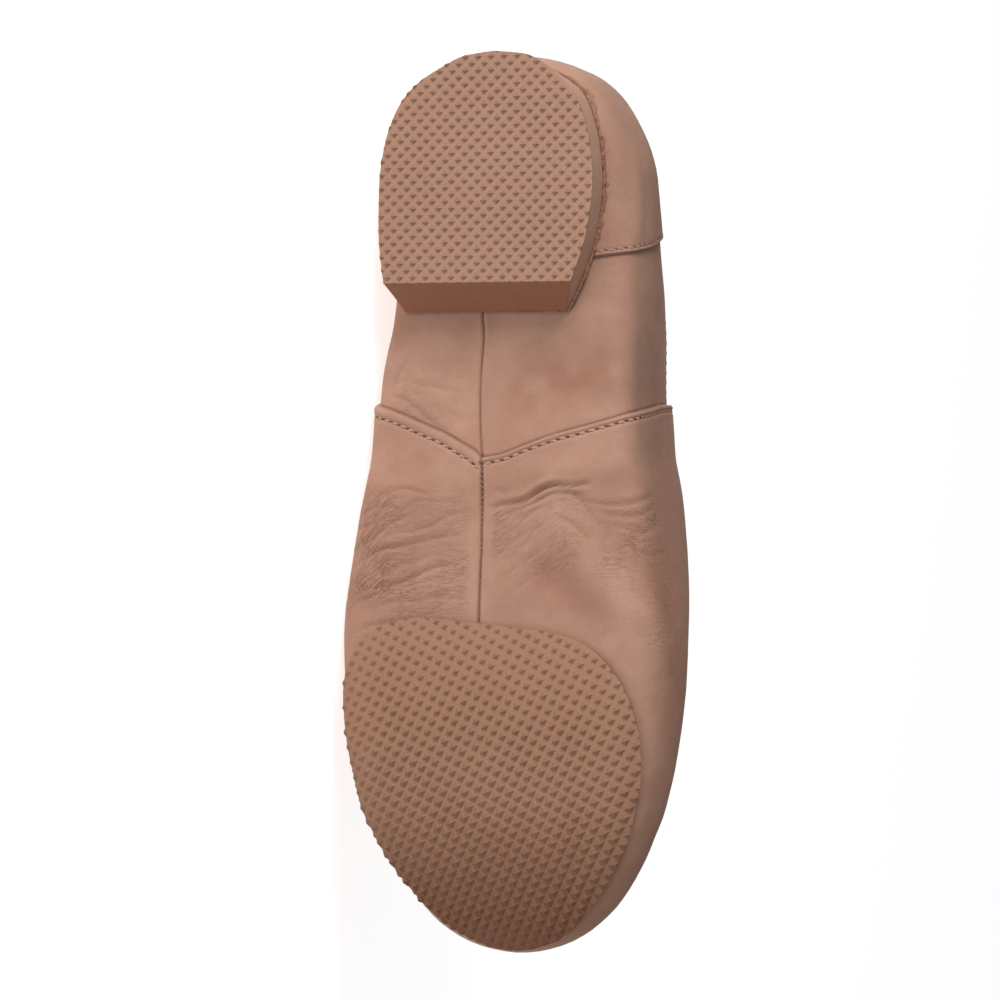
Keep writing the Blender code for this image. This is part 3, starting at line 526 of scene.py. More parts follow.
# Worn and stained patches of the leather: strength, radius along and across, middle
Blotch = namedtuple("Blotch", "strength along_p along_q p q")
BLOTCHES = rows(
    Blotch,
    (0.75, 7.0, 13.0, 85.0, -22.0), (0.40, 9.0, 9.0, 95.0, -8.0), (0.34, 5.0, 15.0, 111.0, -22.0),
    (0.20, 14.0, 12.0, 80.0, -18.0), (0.35, 6.0, 10.0, 108.0, 22.0), (0.12, 8.0, 12.0, 134.0, 28.0),
    (0.45, 12.0, 6.0, 121.0, -30.0), (0.30, 10.0, 8.0, 140.0, -12.0), (0.35, 5.0, 10.0, 70.5, 2.0),
    (0.30, 14.0, 4.0, 90.0, 5.0), (0.55, 9.0, 9.0, 88.0, -10.0), (0.40, 10.0, 6.0, 145.0, -17.0),
    (0.30, 8.0, 5.0, 138.0, -46.0), (0.35, 12.0, 8.0, 72.0, -30.0), (0.35, 10.0, 3.0, 82.0, 11.0),
    (0.22, 6.0, 14.0, 121.0, 26.0),
)

# Bands of painted highlight along the top of the vamp's long fold and of painted shade on both sides of it
Tone = namedtuple("Tone", "strength width path")
FOLD_LIGHT_AND_SHADE = rows(
    Tone,
    (-0.62, 4.2, ((121.0, -17.5), (129.4, -24.5), (138.7, -30.8), (146.3, -37.0), (154.0, -42.5),
     (168.0, -46.0))),
    (0.66, 4.6, ((127.0, -9.0), (138.0, -16.0), (147.0, -24.0), (157.0, -31.0))),
    (0.50, 4.0, ((126.0, -35.0), (134.0, -41.5), (143.0, -48.0), (152.0, -52.0))),
)

# Fine wrinkles: size across and along, depth and seed
WRINKLES = ((2.4, 7.0, 0.105, 11), (3.8, 11.0, 0.13, 12), (1.7, 4.5, 0.06, 13))
CREASE_REACH = 7.0
FAR = 1e3
DEEPEST = 0.75  # no trough is deeper than this share of the wall

# Hem, counter and collar across the edge, in millimetres
HEM_ROUND = 0.80
HEM_RIDGE = 0.34
STITCH_IN = {1: 2.95, -1: 1.8}  # stitches of the hem behind its edge, lateral and medial
COUNTER_STITCH = 1.25
COLLAR_STITCH = 2.4
STITCH_PITCH = 2.75
STITCH_DIP = 0.30
COLLAR_STEPS = 7
COLLAR_BULGE = 0.85  # height of the collar's round against half its thickness
INNER_ROW_STEP = 3

# Stitches and the dark marks of painted shade for the needle holes between them: sizes, slant, and how far
# short of the end they stop
Stitch = namedtuple("Stitch", "long thick sink slant stop hole_long hole_thick hole_slant hole_stop")
HEM_THREAD = Stitch(2.1, 0.40, 0.26, 0.26, 3.4, 1.55, 0.34, 0.62, 4.4)
COUNTER_THREAD = Stitch(2.0, 0.30, 0.20, 0.26, 2.0, 1.1, 0.22, 0.6, 2.0)
COLLAR_THREAD = Stitch(2.1, 0.26, 0.18, 0.12, 0.0, 0.7, 0.20, 0.5, 0.0)

SEAT_REACH = 0.925  # the block's top keeps within this share of the upper's half width
INSOLE_STEP = 2.4
INSOLE_ROWS = 16
INSOLE_SHARE = 0.80  # of the way from the spine to the widest line


def hem_profile(d, stitch):
    """Height of the folded hem over the quarter, by the distance ahead of its edge."""
    up = np.sqrt(np.clip(1 - (1 - np.clip(d / HEM_ROUND, 0, 1)) ** 2, 0, 1))
    step = LAP_STEP / MM * up * (1 - ease((d - stitch) / (LAP_FADE / MM)))
    roll = HEM_RIDGE * np.clip(1 - (2 * d / (stitch - 0.3) - 1) ** 2, 0, 1)
    roll = roll - STITCH_DIP * bell(d - stitch, 0.42) + 0.07 * bell(d - stitch - 1.3, 0.7)
    return step + np.where(d > 0, roll, -0.16 * bell(d, 0.45))


def counter_profile(d):
    """Height of the counter over the quarter, by the distance behind its edge."""
    up = np.sqrt(np.clip(1 - (1 - np.clip(d / 0.4, 0, 1)) ** 2, 0, 1))
    roll = 0.10 * bell(d - 0.45, 0.4) - 0.22 * bell(d - COUNTER_STITCH, 0.4)
    return COUNTER_STEP / MM * up + np.where(d > 0, roll, -0.10 * bell(d, 0.35))


def wrinkle_lines(p, q):
    """Coordinate across the fine wrinkles: they climb towards the seam on both sides of it."""
    return p - 0.06 * np.maximum(q - 5, 0) - 0.85 * np.maximum(q - 31, 0) + 0.55 * np.clip(4 - q, 0, 26)


def wrinkle_zone(p, q):
    """Where the leather is wrinkled, from 0 to 1."""
    vamp = ease((p - 112) / 10) * ease((162 - p) / 20)
    outer = vamp * ease((q - 6) / 3)
    inner = vamp * ease((2.5 - q) / 3) * (0.75 - 0.45 * ease((p - 134) / 12))
    arch = ease((p - 76) / 12) * ease((104 - p) / 8) * ease((q - 9) / 8) * 0.45
    edge = 0.45 * ease((p - 112) / 6) * ease((172 - p) / 14) * ease((np.abs(q) - 36) / 6)
    patchy = (0.55 + 0.45 * soft_noise(p / 6.5, q / 6.5, 18)) * ease((64 - np.abs(q)) / 14)
    return np.clip((np.maximum(outer + inner, edge) + arch) * patchy, 0, 1)


def taper(along, power):
    """Falls off to nothing at both ends of a path."""
    return np.clip(np.sin(pi * np.clip(along, 0, 1)), 0, 1) ** power


def relief(p, q):
    """Height of the leather's folds over its plain form, and the painted shade in each crease and wrinkle
    valley.
    """
    height = np.zeros(p.shape)
    crease_shade = np.zeros(p.shape)
    wander = 1 + 0.25 * soft_noise(p / 3.1, q / 3.1, 5)
    for crease in CREASES:
        away, along = to_path(p, q, crease.path, CREASE_REACH)
        ends = taper(along, 0.55)
        trough = bell(away, crease.width * 0.72) * 0.55 + bell(away, crease.width * 1.5) * 0.45
        lips = crease.lips * bell(away - 2.3 * crease.width, 1.25 * crease.width)
        height += crease.depth * ends * wander * (lips - trough)
        # Painted shade along the trough of each crease
        crease_shade = np.maximum(crease_shade, bell(away, crease.width * 0.6) * ends * min(crease.depth * 1.1, 1.0))
    for swell in SWELLS:
        away, along = to_path(p, q, swell.path, 3 * swell.width)
        height += swell.height * taper(along, 0.8) * bell(away, swell.width)
    zone = wrinkle_zone(p, q)
    line = wrinkle_lines(p, q)
    for size, long, depth, seed in WRINKLES:
        bend = 1.2 * soft_noise(p / 9.0, q / 9.0, seed + 40)
        field = soft_noise((line + bend) / size, q / long, seed)
        valley = bell(field, 0.30)
        height += zone * depth * (0.3 * field - valley)
        # Painted shade in the wrinkle valleys
        crease_shade = np.maximum(crease_shade, 0.6 * zone * valley * depth)
    under = ease((46 - np.abs(q)) / 10)
    waves = 0.16 * soft_noise(p / 13.0, q / 13.0, 21) + 0.08 * soft_noise(p / 5.5, q / 5.5, 22)
    return height + waves * (0.35 + 0.65 * under), crease_shade


def fold_light_and_shade(p, q):
    """Painted highlight along the top of the vamp's long fold, and painted shade on both sides of it."""
    tone = np.zeros(p.shape)
    for fold in FOLD_LIGHT_AND_SHADE:
        away, along = to_path(p, q, fold.path, 3 * fold.width)
        tone += fold.strength * bell(away, fold.width) * taper(along, 0.7)
    return tone


def seam_relief(p, q):
    """The seam under the foot: a narrow groove between two soft lips, and its dark line: the seam's own
    dark joint, with painted shade in the groove.
    """
    away = q - seam_at(p)
    here = ease((p - SEAM_FROM + 2) / 2) * ease((SEAM_TO + 2 - p) / 2)
    ahead = p > 110.0
    depth = np.where(ahead, 0.50, 0.38)
    height = here * (0.20 * bell(np.abs(away) - 1.1, 0.6) - depth * bell(away, 0.27))
    return height, here * bell(away, np.where(ahead, 0.36, 0.26)) * (0.86 + 0.14 * np.sin(p * 2 * pi / 1.1))


def climb_to(share, cut):
    """Share of the way from the widest line to the ridge, for a row of a column that the collar cuts."""
    first = cut * (1 + (1 - cut) * cut)
    return first * share + (cut - first) * share**4


def hem_ahead(across):
    return column_of(HEM, "ahead", across, "across")


def hem_stretch(across):
    """Way along the shoe against the way square across the slanting hem."""
    slope = (hem_ahead(across + 0.01) - hem_ahead(across - 0.01)) / 0.02 / (WIDE * MM)
    return np.sqrt(1 + slope**2)


def seam_at(p):
    """Place of the seam across the pattern, in millimetres."""
    return column_of(SEAM, "q", p, "p")


def bent(x, across):
    """Columns between the round ends, bent so that they follow the hem and the counter's edge."""
    heel, lap, counter = HEEL_CENTRE * LENGTH, LAP_SIDE * LENGTH, COUNTER_FRONT * LENGTH
    throat = THROAT * LENGTH
    behind = (x - LAP_FADE_BACK * LENGTH) / (lap - LAP_FADE_BACK * LENGTH)
    ahead = (LAP_FADE_FRONT * LENGTH - x) / (LAP_FADE_FRONT * LENGTH - lap)
    near = ease(np.where(x < lap, behind, ahead))
    up = np.clip(np.abs(across) - 1, 0, 1)
    hem = hem_ahead(across) * (1 - up + up * np.where(x < lap, 1.0, ease((throat - x) / (throat - lap))))
    before = (x - heel) / (counter - heel)
    after = (COUNTER_FADE * LENGTH - x) / (COUNTER_FADE * LENGTH - counter)
    lean = column_of(LEAN, "back", np.abs(across), "across")
    lean = (lean - COUNTER_AHEAD) * ease(np.where(x < counter, before, after))
    return x + hem * near - lean


def ramp(start, stop, step):
    count = max(int(round((stop - start) / step)), 1)
    return [start + (stop - start) * k / count for k in range(count)]


def fine_stations():
    """Places of the dense skin's columns between the round ends, in metres."""
    heel, toe = HEEL_CENTRE * LENGTH / MM, TOE_CENTRE * LENGTH / MM
    counter, lap, throat = COUNTER_FRONT * LENGTH / MM, LAP_SIDE * LENGTH / MM, THROAT * LENGTH / MM
    first, last = -EDGE_COLUMNS[-1], EDGE_COLUMNS[-1]
    places = ramp(heel, counter + first, PLAIN_STEP)
    places += [counter - off for off in EDGE_COLUMNS[::-1]]
    places += ramp(counter - EDGE_COLUMNS[0] + FINE_STEP, lap + EDGE_COLUMNS[0], FINE_STEP)
    places += [lap + off for off in EDGE_COLUMNS]
    places += ramp(lap + last + FINE_STEP, throat - THROAT_COLUMNS[0], FINE_STEP)
    places += [throat - off for off in THROAT_COLUMNS]
    places += ramp(throat + FINE_STEP, 166.0, FINE_STEP)
    places += ramp(166.0, toe, PLAIN_STEP)
    if (FAN_STEPS + places.index(throat)) % 2:
        places.insert(1, (places[0] + places[1]) / 2)
    return [place * MM for place in places] + [toe * MM]


def ring_columns(stations, fan_steps):
    """Every column around the shoe, from the back over the lateral side and the toe to the medial side."""
    turn = np.linspace(0, pi / 2, fan_steps + 1)[:-1]
    lateral = [(HEEL_CENTRE * LENGTH, -cos(a), sin(a)) for a in turn]
    lateral += [(x, 0.0, 1.0) for x in stations]
    lateral += [(TOE_CENTRE * LENGTH, cos(a), sin(a)) for a in turn[::-1]]
    medial = [(x, dx, -dy) for x, dx, dy in lateral[-2:0:-1]]
    return np.array(lateral + medial).T


def row_shares():
    """Rows from the seam to the widest line, 0 to 1, and on to the collar or the ridge, 1 to 2."""
    near = [row / WIDE for row in SEAM_ROWS]
    below = near + [row / WIDE for row in ramp(SEAM_ROWS[-1] + ROW_STEP, WIDE, ROW_STEP)] + [1.0]
    return below + [1 + (k + 1) / ROWS_ABOVE for k in range(ROWS_ABOVE)]


Skin = namedtuple("Skin", "points p q across base middle ids open_top")


def skin(stations, fan_steps, shares):
    """The upper's outer face by column and row, its flat pattern, and which places are shared."""
    x, dx, dy = ring_columns(stations, fan_steps)
    count = len(x)
    middle = np.abs(dx) < TINY
    side = np.where(dy >= 0, 1.0, -1.0)
    seam = np.where(middle, seam_at(bent(x, 0.1) / MM) * MM, 0.0)
    _, _, wide, _ = half_sections(x, dx, dy)
    top = np.where(middle, bent(x, side * 2.0), x)
    _, arc, widest, end = half_sections(top, dx, dy)
    cut = (end - widest) / (arc[:, -1] - widest)
    points, ps, qs, across = [], [], [], []
    for share in shares:
        if share <= 1:
            signed = np.where(middle, seam + (side * wide - seam) * share, wide * share)
            over = signed / wide
        else:
            over = np.where(middle, side, 1.0) * share
            signed = over
        moved = np.where(middle, bent(x, over), x)
        here_dy = np.where(middle, np.where(signed >= 0, 1.0, -1.0), dy)
        half, arc, widest, _ = half_sections(moved, dx, here_dy)
        if share <= 1:
            far = np.abs(signed) * widest / wide
        else:
            far = widest + (arc[:, -1] - widest) * climb_to(share - 1, cut)
        points.append(on_sections(half, arc, far))
        ps.append((moved + dx * far) / MM)
        qs.append(here_dy * far / MM)
        across.append(np.where(middle, over, side * share))
    points = np.stack(points, 1)
    ids = np.arange(count * len(shares)).reshape(count, len(shares))
    closed = (x >= THROAT * LENGTH - TINY) & (dx > -TINY)
    for column in range(count // 2 + 1, count):
        partner = count - column
        if middle[column]:
            ids[column, 0] = ids[partner, 0]
        if closed[column] and shares[-1] == 2:
            ids[column, -1] = ids[partner, -1]
    first, last = fan_steps, fan_steps + len(stations) - 1
    ids[dx < -TINY, 0] = ids[first, 0]
    ids[dx > TINY, 0] = ids[last, 0]
    if shares[-1] == 2:
        ids[dx > TINY, -1] = ids[last, -1]
    stacked = (np.stack(ps, 1), np.stack(qs, 1), np.stack(across, 1))
    return Skin(points, *stacked, x, middle, ids, ~closed)


def distinct(corners):
    """The corners of a face, each named once."""
    return list(dict.fromkeys(int(corner) for corner in corners))


def ring_faces(ids, step_columns=1, picked=None):
    """Quads between neighbouring columns and rows, triangles where two corners are one."""
    columns = list(range(0, len(ids), step_columns))
    picked = list(range(ids.shape[1])) if picked is None else picked
    faces = []
    for a, b in zip(columns, columns[1:] + columns[:1]):
        for low, high in zip(picked, picked[1:]):
            face = distinct((ids[a, low], ids[a, high], ids[b, high], ids[b, low]))
            if len(face) > 2:
                faces.append(face)
    return faces


def shifted(faces, by):
    """The same faces on a copy of their points, wound the other way."""
    return [[k + by for k in face[::-1]] for face in faces]


def unit(vectors):
    """The same directions with length 1, row by row."""
    return vectors / np.maximum(np.linalg.norm(vectors, axis=1, keepdims=True), 1e-20)


def arc_of(points):
    """Way along a line of points to each of them."""
    return np.concatenate([[0], np.cumsum(np.linalg.norm(np.diff(points, axis=0), axis=1))])


def read_at(at, arc, values):
    """Values that are known along a line, read at these places."""
    return np.column_stack([np.interp(at, arc, values[:, k]) for k in range(values.shape[1])])


def new_piece(name, points, faces, materials, slots=None, smooth=True, values=None):
    """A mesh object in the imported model's frame from points of the shoe's frame."""
    used = np.unique(np.concatenate([np.asarray(face) for face in faces]))
    order = np.full(len(points), -1)
    order[used] = np.arange(len(used))
    mesh = bpy.data.meshes.new(name)
    placed = points[used] @ TURN.T + ORIGIN
    mesh.from_pydata(placed.tolist(), [], [order[np.asarray(face)].tolist() for face in faces])
    for key, value in (values or {}).items():
        if value.ndim == 2:
            layer = mesh.attributes.new(key, "FLOAT_VECTOR", "POINT")
            layer.data.foreach_set("vector", value[used].astype(np.float32).ravel())
        else:
            layer = mesh.attributes.new(key, "FLOAT", "POINT")
            layer.data.foreach_set("value", value[used].astype(np.float32))
    for material in materials:
        mesh.materials.append(material)
    if slots is not None:
        mesh.polygons.foreach_set("material_index", np.asarray(slots, np.int32))
    mesh.polygons.foreach_set("use_smooth", np.full(len(faces), smooth))
    mesh.update()
    obj = bpy.data.objects.new(name, mesh)
    bpy.context.scene.collection.objects.link(obj)
    return obj


def vertex_normals(points, faces):
    """Normals of the welded surface, weighted by area, pointing as the faces wind."""
    normals = np.zeros_like(points)
    for size in (3, 4):
        some = np.array([face for face in faces if len(face) == size])
        if not len(some):
            continue
        a, b, c = points[some[:, 0]], points[some[:, 1]], points[some[:, 2]]
        d = points[some[:, -1]]
        cross = np.cross(c - a, d - b) if size == 4 else np.cross(b - a, c - a)
        for k in range(size):
            np.add.at(normals, some[:, k], cross)
    return unit(normals)


def soft_noise(u, v, seed):
    """Smooth noise from -1 to 1, one cell to a unit."""
    size = 96
    table = np.random.default_rng(seed).uniform(-1, 1, (size, size))
    iu, iv = np.floor(u).astype(int), np.floor(v).astype(int)
    fu, fv = ease(u - iu), ease(v - iv)
    low = table[iu % size, iv % size] * (1 - fu) + table[(iu + 1) % size, iv % size] * fu
    high = table[iu % size, (iv + 1) % size] * (1 - fu) + table[(iu + 1) % size, (iv + 1) % size] * fu
    return low * (1 - fv) + high * fv


def bell(distance, width):
    return np.exp(-((distance / width) ** 2))


def open_curve(path, fine=8):
    """A smooth curve through the path's points."""
    path = np.array(path, float)
    ends = np.vstack([2 * path[0] - path[1], path, 2 * path[-1] - path[-2]])
    made = []
    for k in range(len(path) - 1):
        a, b, c, d = ends[k : k + 4]
        for f in np.arange(fine) / fine:
            slope, bend = (c - a) / 2, a - 2.5 * b + 2 * c - d / 2
            made.append(b + slope * f + bend * f**2 + (1.5 * b - 0.5 * a - 1.5 * c + 0.5 * d) * f**3)
    return np.array(made + [path[-1]])


def to_path(p, q, path, limit):
    """Distance to a path on the pattern, and the place along it from 0 to 1."""
    line = open_curve(path)
    away = np.full(p.shape, FAR)
    along = np.zeros(p.shape)
    low, high = line.min(0) - limit, line.max(0) + limit
    near = np.nonzero((p > low[0]) & (p < high[0]) & (q > low[1]) & (q < high[1]))[0]
    if not len(near):
        return away, along
    spot = np.stack([p[near], q[near]], 1)
    best = np.full(len(near), FAR)
    at = np.zeros(len(near))
    for k in range(len(line) - 1):
        a, step = line[k], line[k + 1] - line[k]
        share = np.clip(((spot - a) @ step) / (step @ step), 0, 1)
        gap = spot - a - share[:, None] * step
        far = np.hypot(gap[:, 0], gap[:, 1])
        closer = far < best
        best = np.where(closer, far, best)
        at = np.where(closer, (k + share) / (len(line) - 1), at)
    away[near], along[near] = best, at
    return away, along


mount_at = {
    mount["name"]: (Vector(mount["pos_m"]), Vector(mount["axis"]))
    for mount in frame["record"]["mounts"]
}
HEEL_SPOT = (0.030, 0.0030)  # the two treads' mounts in the shoe's frame, on its plane z = 0
FORE_SPOT = (0.180, 0.0)
heel_at, down = mount_at["heel_tread"]
fore_at, _ = mount_at["forefoot_tread"]
shoe_up = -down.normalized()
line = (fore_at - heel_at).normalized()
across_line = shoe_up.cross(line).normalized()
swing = atan2(FORE_SPOT[1] - HEEL_SPOT[1], FORE_SPOT[0] - HEEL_SPOT[0])
shoe_x = cos(swing) * line - sin(swing) * across_line
shoe_y = sin(swing) * line + cos(swing) * across_line
origin = heel_at - shoe_x * HEEL_SPOT[0] - shoe_y * HEEL_SPOT[1]
TURN = np.array([shoe_x, shoe_y, shoe_up]).T
ORIGIN = np.array(origin)


def placed(x, y, z):
    return Vector(TURN @ np.array([x, y, z]) + ORIGIN)


def turned(x, y, z):
    return Vector(TURN @ np.array([x, y, z]))


def add_camera():
    """Looks at the treads from 20 degrees to the medial side, the toe down in the picture."""
    distance, view_width, sensor = 1.0, 0.2661, 36.0
    tilt, roll = radians(20), radians(0.46)
    towards = Vector((0, -sin(tilt), -cos(tilt)))
    up = Vector((-cos(roll), sin(roll), 0))
    right = up.cross(towards).normalized()
    up = towards.cross(right)
    eye = Vector((0.119, 0, 0.006)) + towards * distance
    data = bpy.data.cameras.new("camera")
    data.sensor_width = sensor
    data.lens = sensor * distance / view_width
    camera = bpy.data.objects.new("camera", data)
    bpy.context.scene.collection.objects.link(camera)
    axes = Matrix([turned(*axis) for axis in (right, up, towards)]).transposed()
    camera.matrix_world = Matrix.Translation(placed(*eye)) @ axes.to_4x4()
    bpy.context.scene.camera = camera


add_camera()


def stains_and_painted_shade(p, q, across):
    """Worn, dyed and stained patches of the leather, painted shade on its medial side and towards the toe,
    a darker band across the bend of the vamp, and painted highlight and shade along the vamp's long fold,
    from 0 to 1.
    """
    tone = sum(
        b.strength * np.exp(-(((p - b.p) / b.along_p) ** 2) - ((q - b.q) / b.along_q) ** 2)
        for b in BLOTCHES
    )
    tone = tone * (0.7 + 0.5 * soft_noise(p / 4.0, q / 4.0, 31))
    # Painted shade on the medial side, where the surface turns away from the light
    medial_shade = 0.12 * ease((-q - 14) / 14) + 1.0 * ease((-q - 37) / 18)
    # Painted shade towards the toe, and a darker band across the bend of the vamp
    toe_and_bend = 0.45 * ease((p - 190) / 34) + 0.26 * ease((p - 108) / 10) * ease((178 - p) / 30)
    mottle = 0.8 + 0.2 * soft_noise(p / 6.0, q / 6.0, 34)
    mottle = mottle * (1 - ease((np.abs(across) - 1.15) / 0.7))
    return np.clip(tone + (medial_shade + toe_and_bend) * mottle + fold_light_and_shade(p, q), 0, 1)


def glue_stain(outer, across):
    """Dried glue on the leather beside the heel block, on its medial side."""
    _, high = block_outlines()
    x, y = outer[:, 0] / MM, outer[:, 1] / MM
    near = np.nonzero((x < 74) & (np.abs(across) < 1))[0]
    x, y = x[near], y[near]
    gap = np.linalg.norm(outer[near, None, :2] - high[None], axis=2).min(axis=1) / MM
    reach_out = 1.0 + 0.7 * soft_noise(x / 1.4, y / 1.4, 35)
    stain = np.zeros(len(outer))
    stain[near] = ease((reach_out + 0.9 - gap) / 0.9) * ease((-y - 6) / 12) * ease((64 - x) / 8)
    return stain


def collar_rings(top_out, top_in, below):
    """Rings that round the collar between the outer skin and the lining."""
    near_throat = ease((top_out[:, :1] - THROAT * LENGTH + 14 * MM) / (12 * MM))
    wanted = unit(top_out - below) * (1 - near_throat) + np.array([-1.0, 0, 0]) * near_throat
    along = np.roll(top_out, -1, axis=0) - np.roll(top_out, 1, axis=0)
    rise = unit(np.cross(along, unit(top_out - top_in)))
    rise *= np.where((rise * wanted).sum(axis=1, keepdims=True) < 0, -1.0, 1.0)
    centre, half = (top_out + top_in) / 2, (top_out - top_in) / 2
    tall = np.linalg.norm(half, axis=1, keepdims=True) * COLLAR_BULGE
    angles = [pi * k / COLLAR_STEPS for k in range(1, COLLAR_STEPS)]
    return [centre + half * cos(angle) + rise * tall * sin(angle) for angle in angles]


def make_upper():
    """The dense outer skin with its folds, closed by a coarser inner wall and a round collar."""
    form = skin(fine_stations(), FAN_STEPS, row_shares())
    count, size = form.ids.shape
    flat = form.points.reshape(-1, 3)
    faces = ring_faces(form.ids)
    at = form.ids.reshape(-1)
    normals = vertex_normals(flat, faces)[at]
    if normals[form.ids[FAN_STEPS + 8, 5]][2] > 0:
        normals = -normals
        faces = [face[::-1] for face in faces]
    p, q, across = form.p.reshape(-1), form.q.reshape(-1), form.across.reshape(-1)
    base = np.repeat(form.base / MM, size)
    middle = np.repeat(form.middle, size)
    hem_off = (base - LAP_SIDE * LENGTH / MM) / hem_stretch(across)
    stitch = np.where(across > 0.09, STITCH_IN[1], STITCH_IN[-1])
    counter_off = COUNTER_FRONT * LENGTH / MM - base
    counter_off = np.where(middle, counter_off, np.where(p < 60, 30.0, -60.0))
    folds, crease_shade = relief(p, q)
    groove, seam_dark = seam_relief(p, q)
    quiet = 1 - 0.75 * bell(hem_off - 1.6, 2.4) * middle
    rim_gap = rim_distance(form)
    height = folds * quiet * (1 - ease((np.abs(across) - 1.45) / 0.4)) + groove
    height += np.where(middle, hem_profile(hem_off, stitch), 0.0) + counter_profile(counter_off)
    height -= 0.16 * bell(rim_gap - COLLAR_STITCH, 0.55)
    height *= np.where(form.open_top.repeat(size), 1 - 0.5 * bell(rim_gap, 0.6), 1.0)
    height = np.maximum(height, -DEEPEST * WALL / MM)
    outer = (flat + normals * height[:, None] * MM)[at]
    # Painted shadow line along the hem's edge and the counter's edge
    edge = bell(hem_off + 0.22, 0.34) * middle + 0.8 * bell(counter_off + 0.15, 0.28)
    values = {
        "pattern": np.stack([wrinkle_lines(p, q), q, p], 1),
        # Painted shade in the creases and wrinkle valleys, and the seam's dark line
        "crease": np.clip(np.maximum(crease_shade * quiet, seam_dark), 0, 1),
        "wrinkle": wrinkle_zone(p, q),
        # Stains, with painted shade on the medial side and towards the toe, and painted highlight and shade
        # along the vamp's fold
        "stain": stains_and_painted_shade(p, q, across),
        "spilt": np.clip(glue_stain(outer, across), 0, 1),
        "edge": edge * (0.75 + 0.25 * soft_noise(p / 3, q / 3, 33)),
    }
    inner = flat[at] - normals[at] * WALL
    total = count * size
    inner_ids = form.ids + total
    sheet = len(faces)
    coarse = list(range(0, size - 1, INNER_ROW_STEP))
    faces += shifted(ring_faces(form.ids, 2, coarse), total)
    cut_row, top = coarse[-1], size - 1
    open_count = int(form.open_top[: count // 2 + 1].sum())
    loop = list(range(0, open_count + 1)) + list(range(count - open_count, count))
    rim = form.ids[loop, top]
    rings = collar_rings(outer[rim], inner[rim], outer[form.ids[loop, top - 1]])
    chain = [rim] + [np.arange(len(loop)) + 2 * total + k * len(loop) for k in range(len(rings))]
    chain.append(rim + total)
    collar = len(faces)
    for low, high in zip(chain, chain[1:]):
        faces += [[low[k - 1], high[k - 1], high[k], low[k]] for k in [*range(1, len(loop)), 0]]
    band = len(faces)
    for a, b in zip(loop, loop[1:] + loop[:1]):
        tops = inner_ids[a, top], inner_ids[b, top]
        if a % 2 == 0:
            faces.append([tops[0], inner_ids[a, cut_row], tops[1]])
        else:
            faces.append([tops[0], inner_ids[a - 1, cut_row], inner_ids[b, cut_row], tops[1]])
    for a in range(0, count, 2):
        b = (a + 2) % count
        if not (form.open_top[a] or form.open_top[b]):
            corners = ((a, cut_row), (a, top), (b, top), (b, cut_row))
            faces.append(distinct(inner_ids[corner] for corner in corners)[::-1])
    points = np.vstack([outer, inner, *rings])
    for key, value in values.items():
        spare = np.zeros((len(points) - total,) + value.shape[1:])
        values[key] = np.concatenate([value, spare])
    slots = np.zeros(len(faces), int)
    slots[sheet:collar] = 1
    slots[band:] = 1
    piece = new_piece("leather_upper", points, faces, [leather, lining], slots, True, values)
    return piece, form, outer, normals[at]


def rim_distance(form):
    """Way along each column from every place to the collar, in millimetres."""
    steps = np.linalg.norm(np.diff(form.points, axis=1), axis=2) / MM
    left = np.concatenate([np.cumsum(steps[:, ::-1], axis=1)[:, ::-1], np.zeros((len(steps), 1))], 1)
    return np.where(form.open_top[:, None], left, 60.0).reshape(-1)


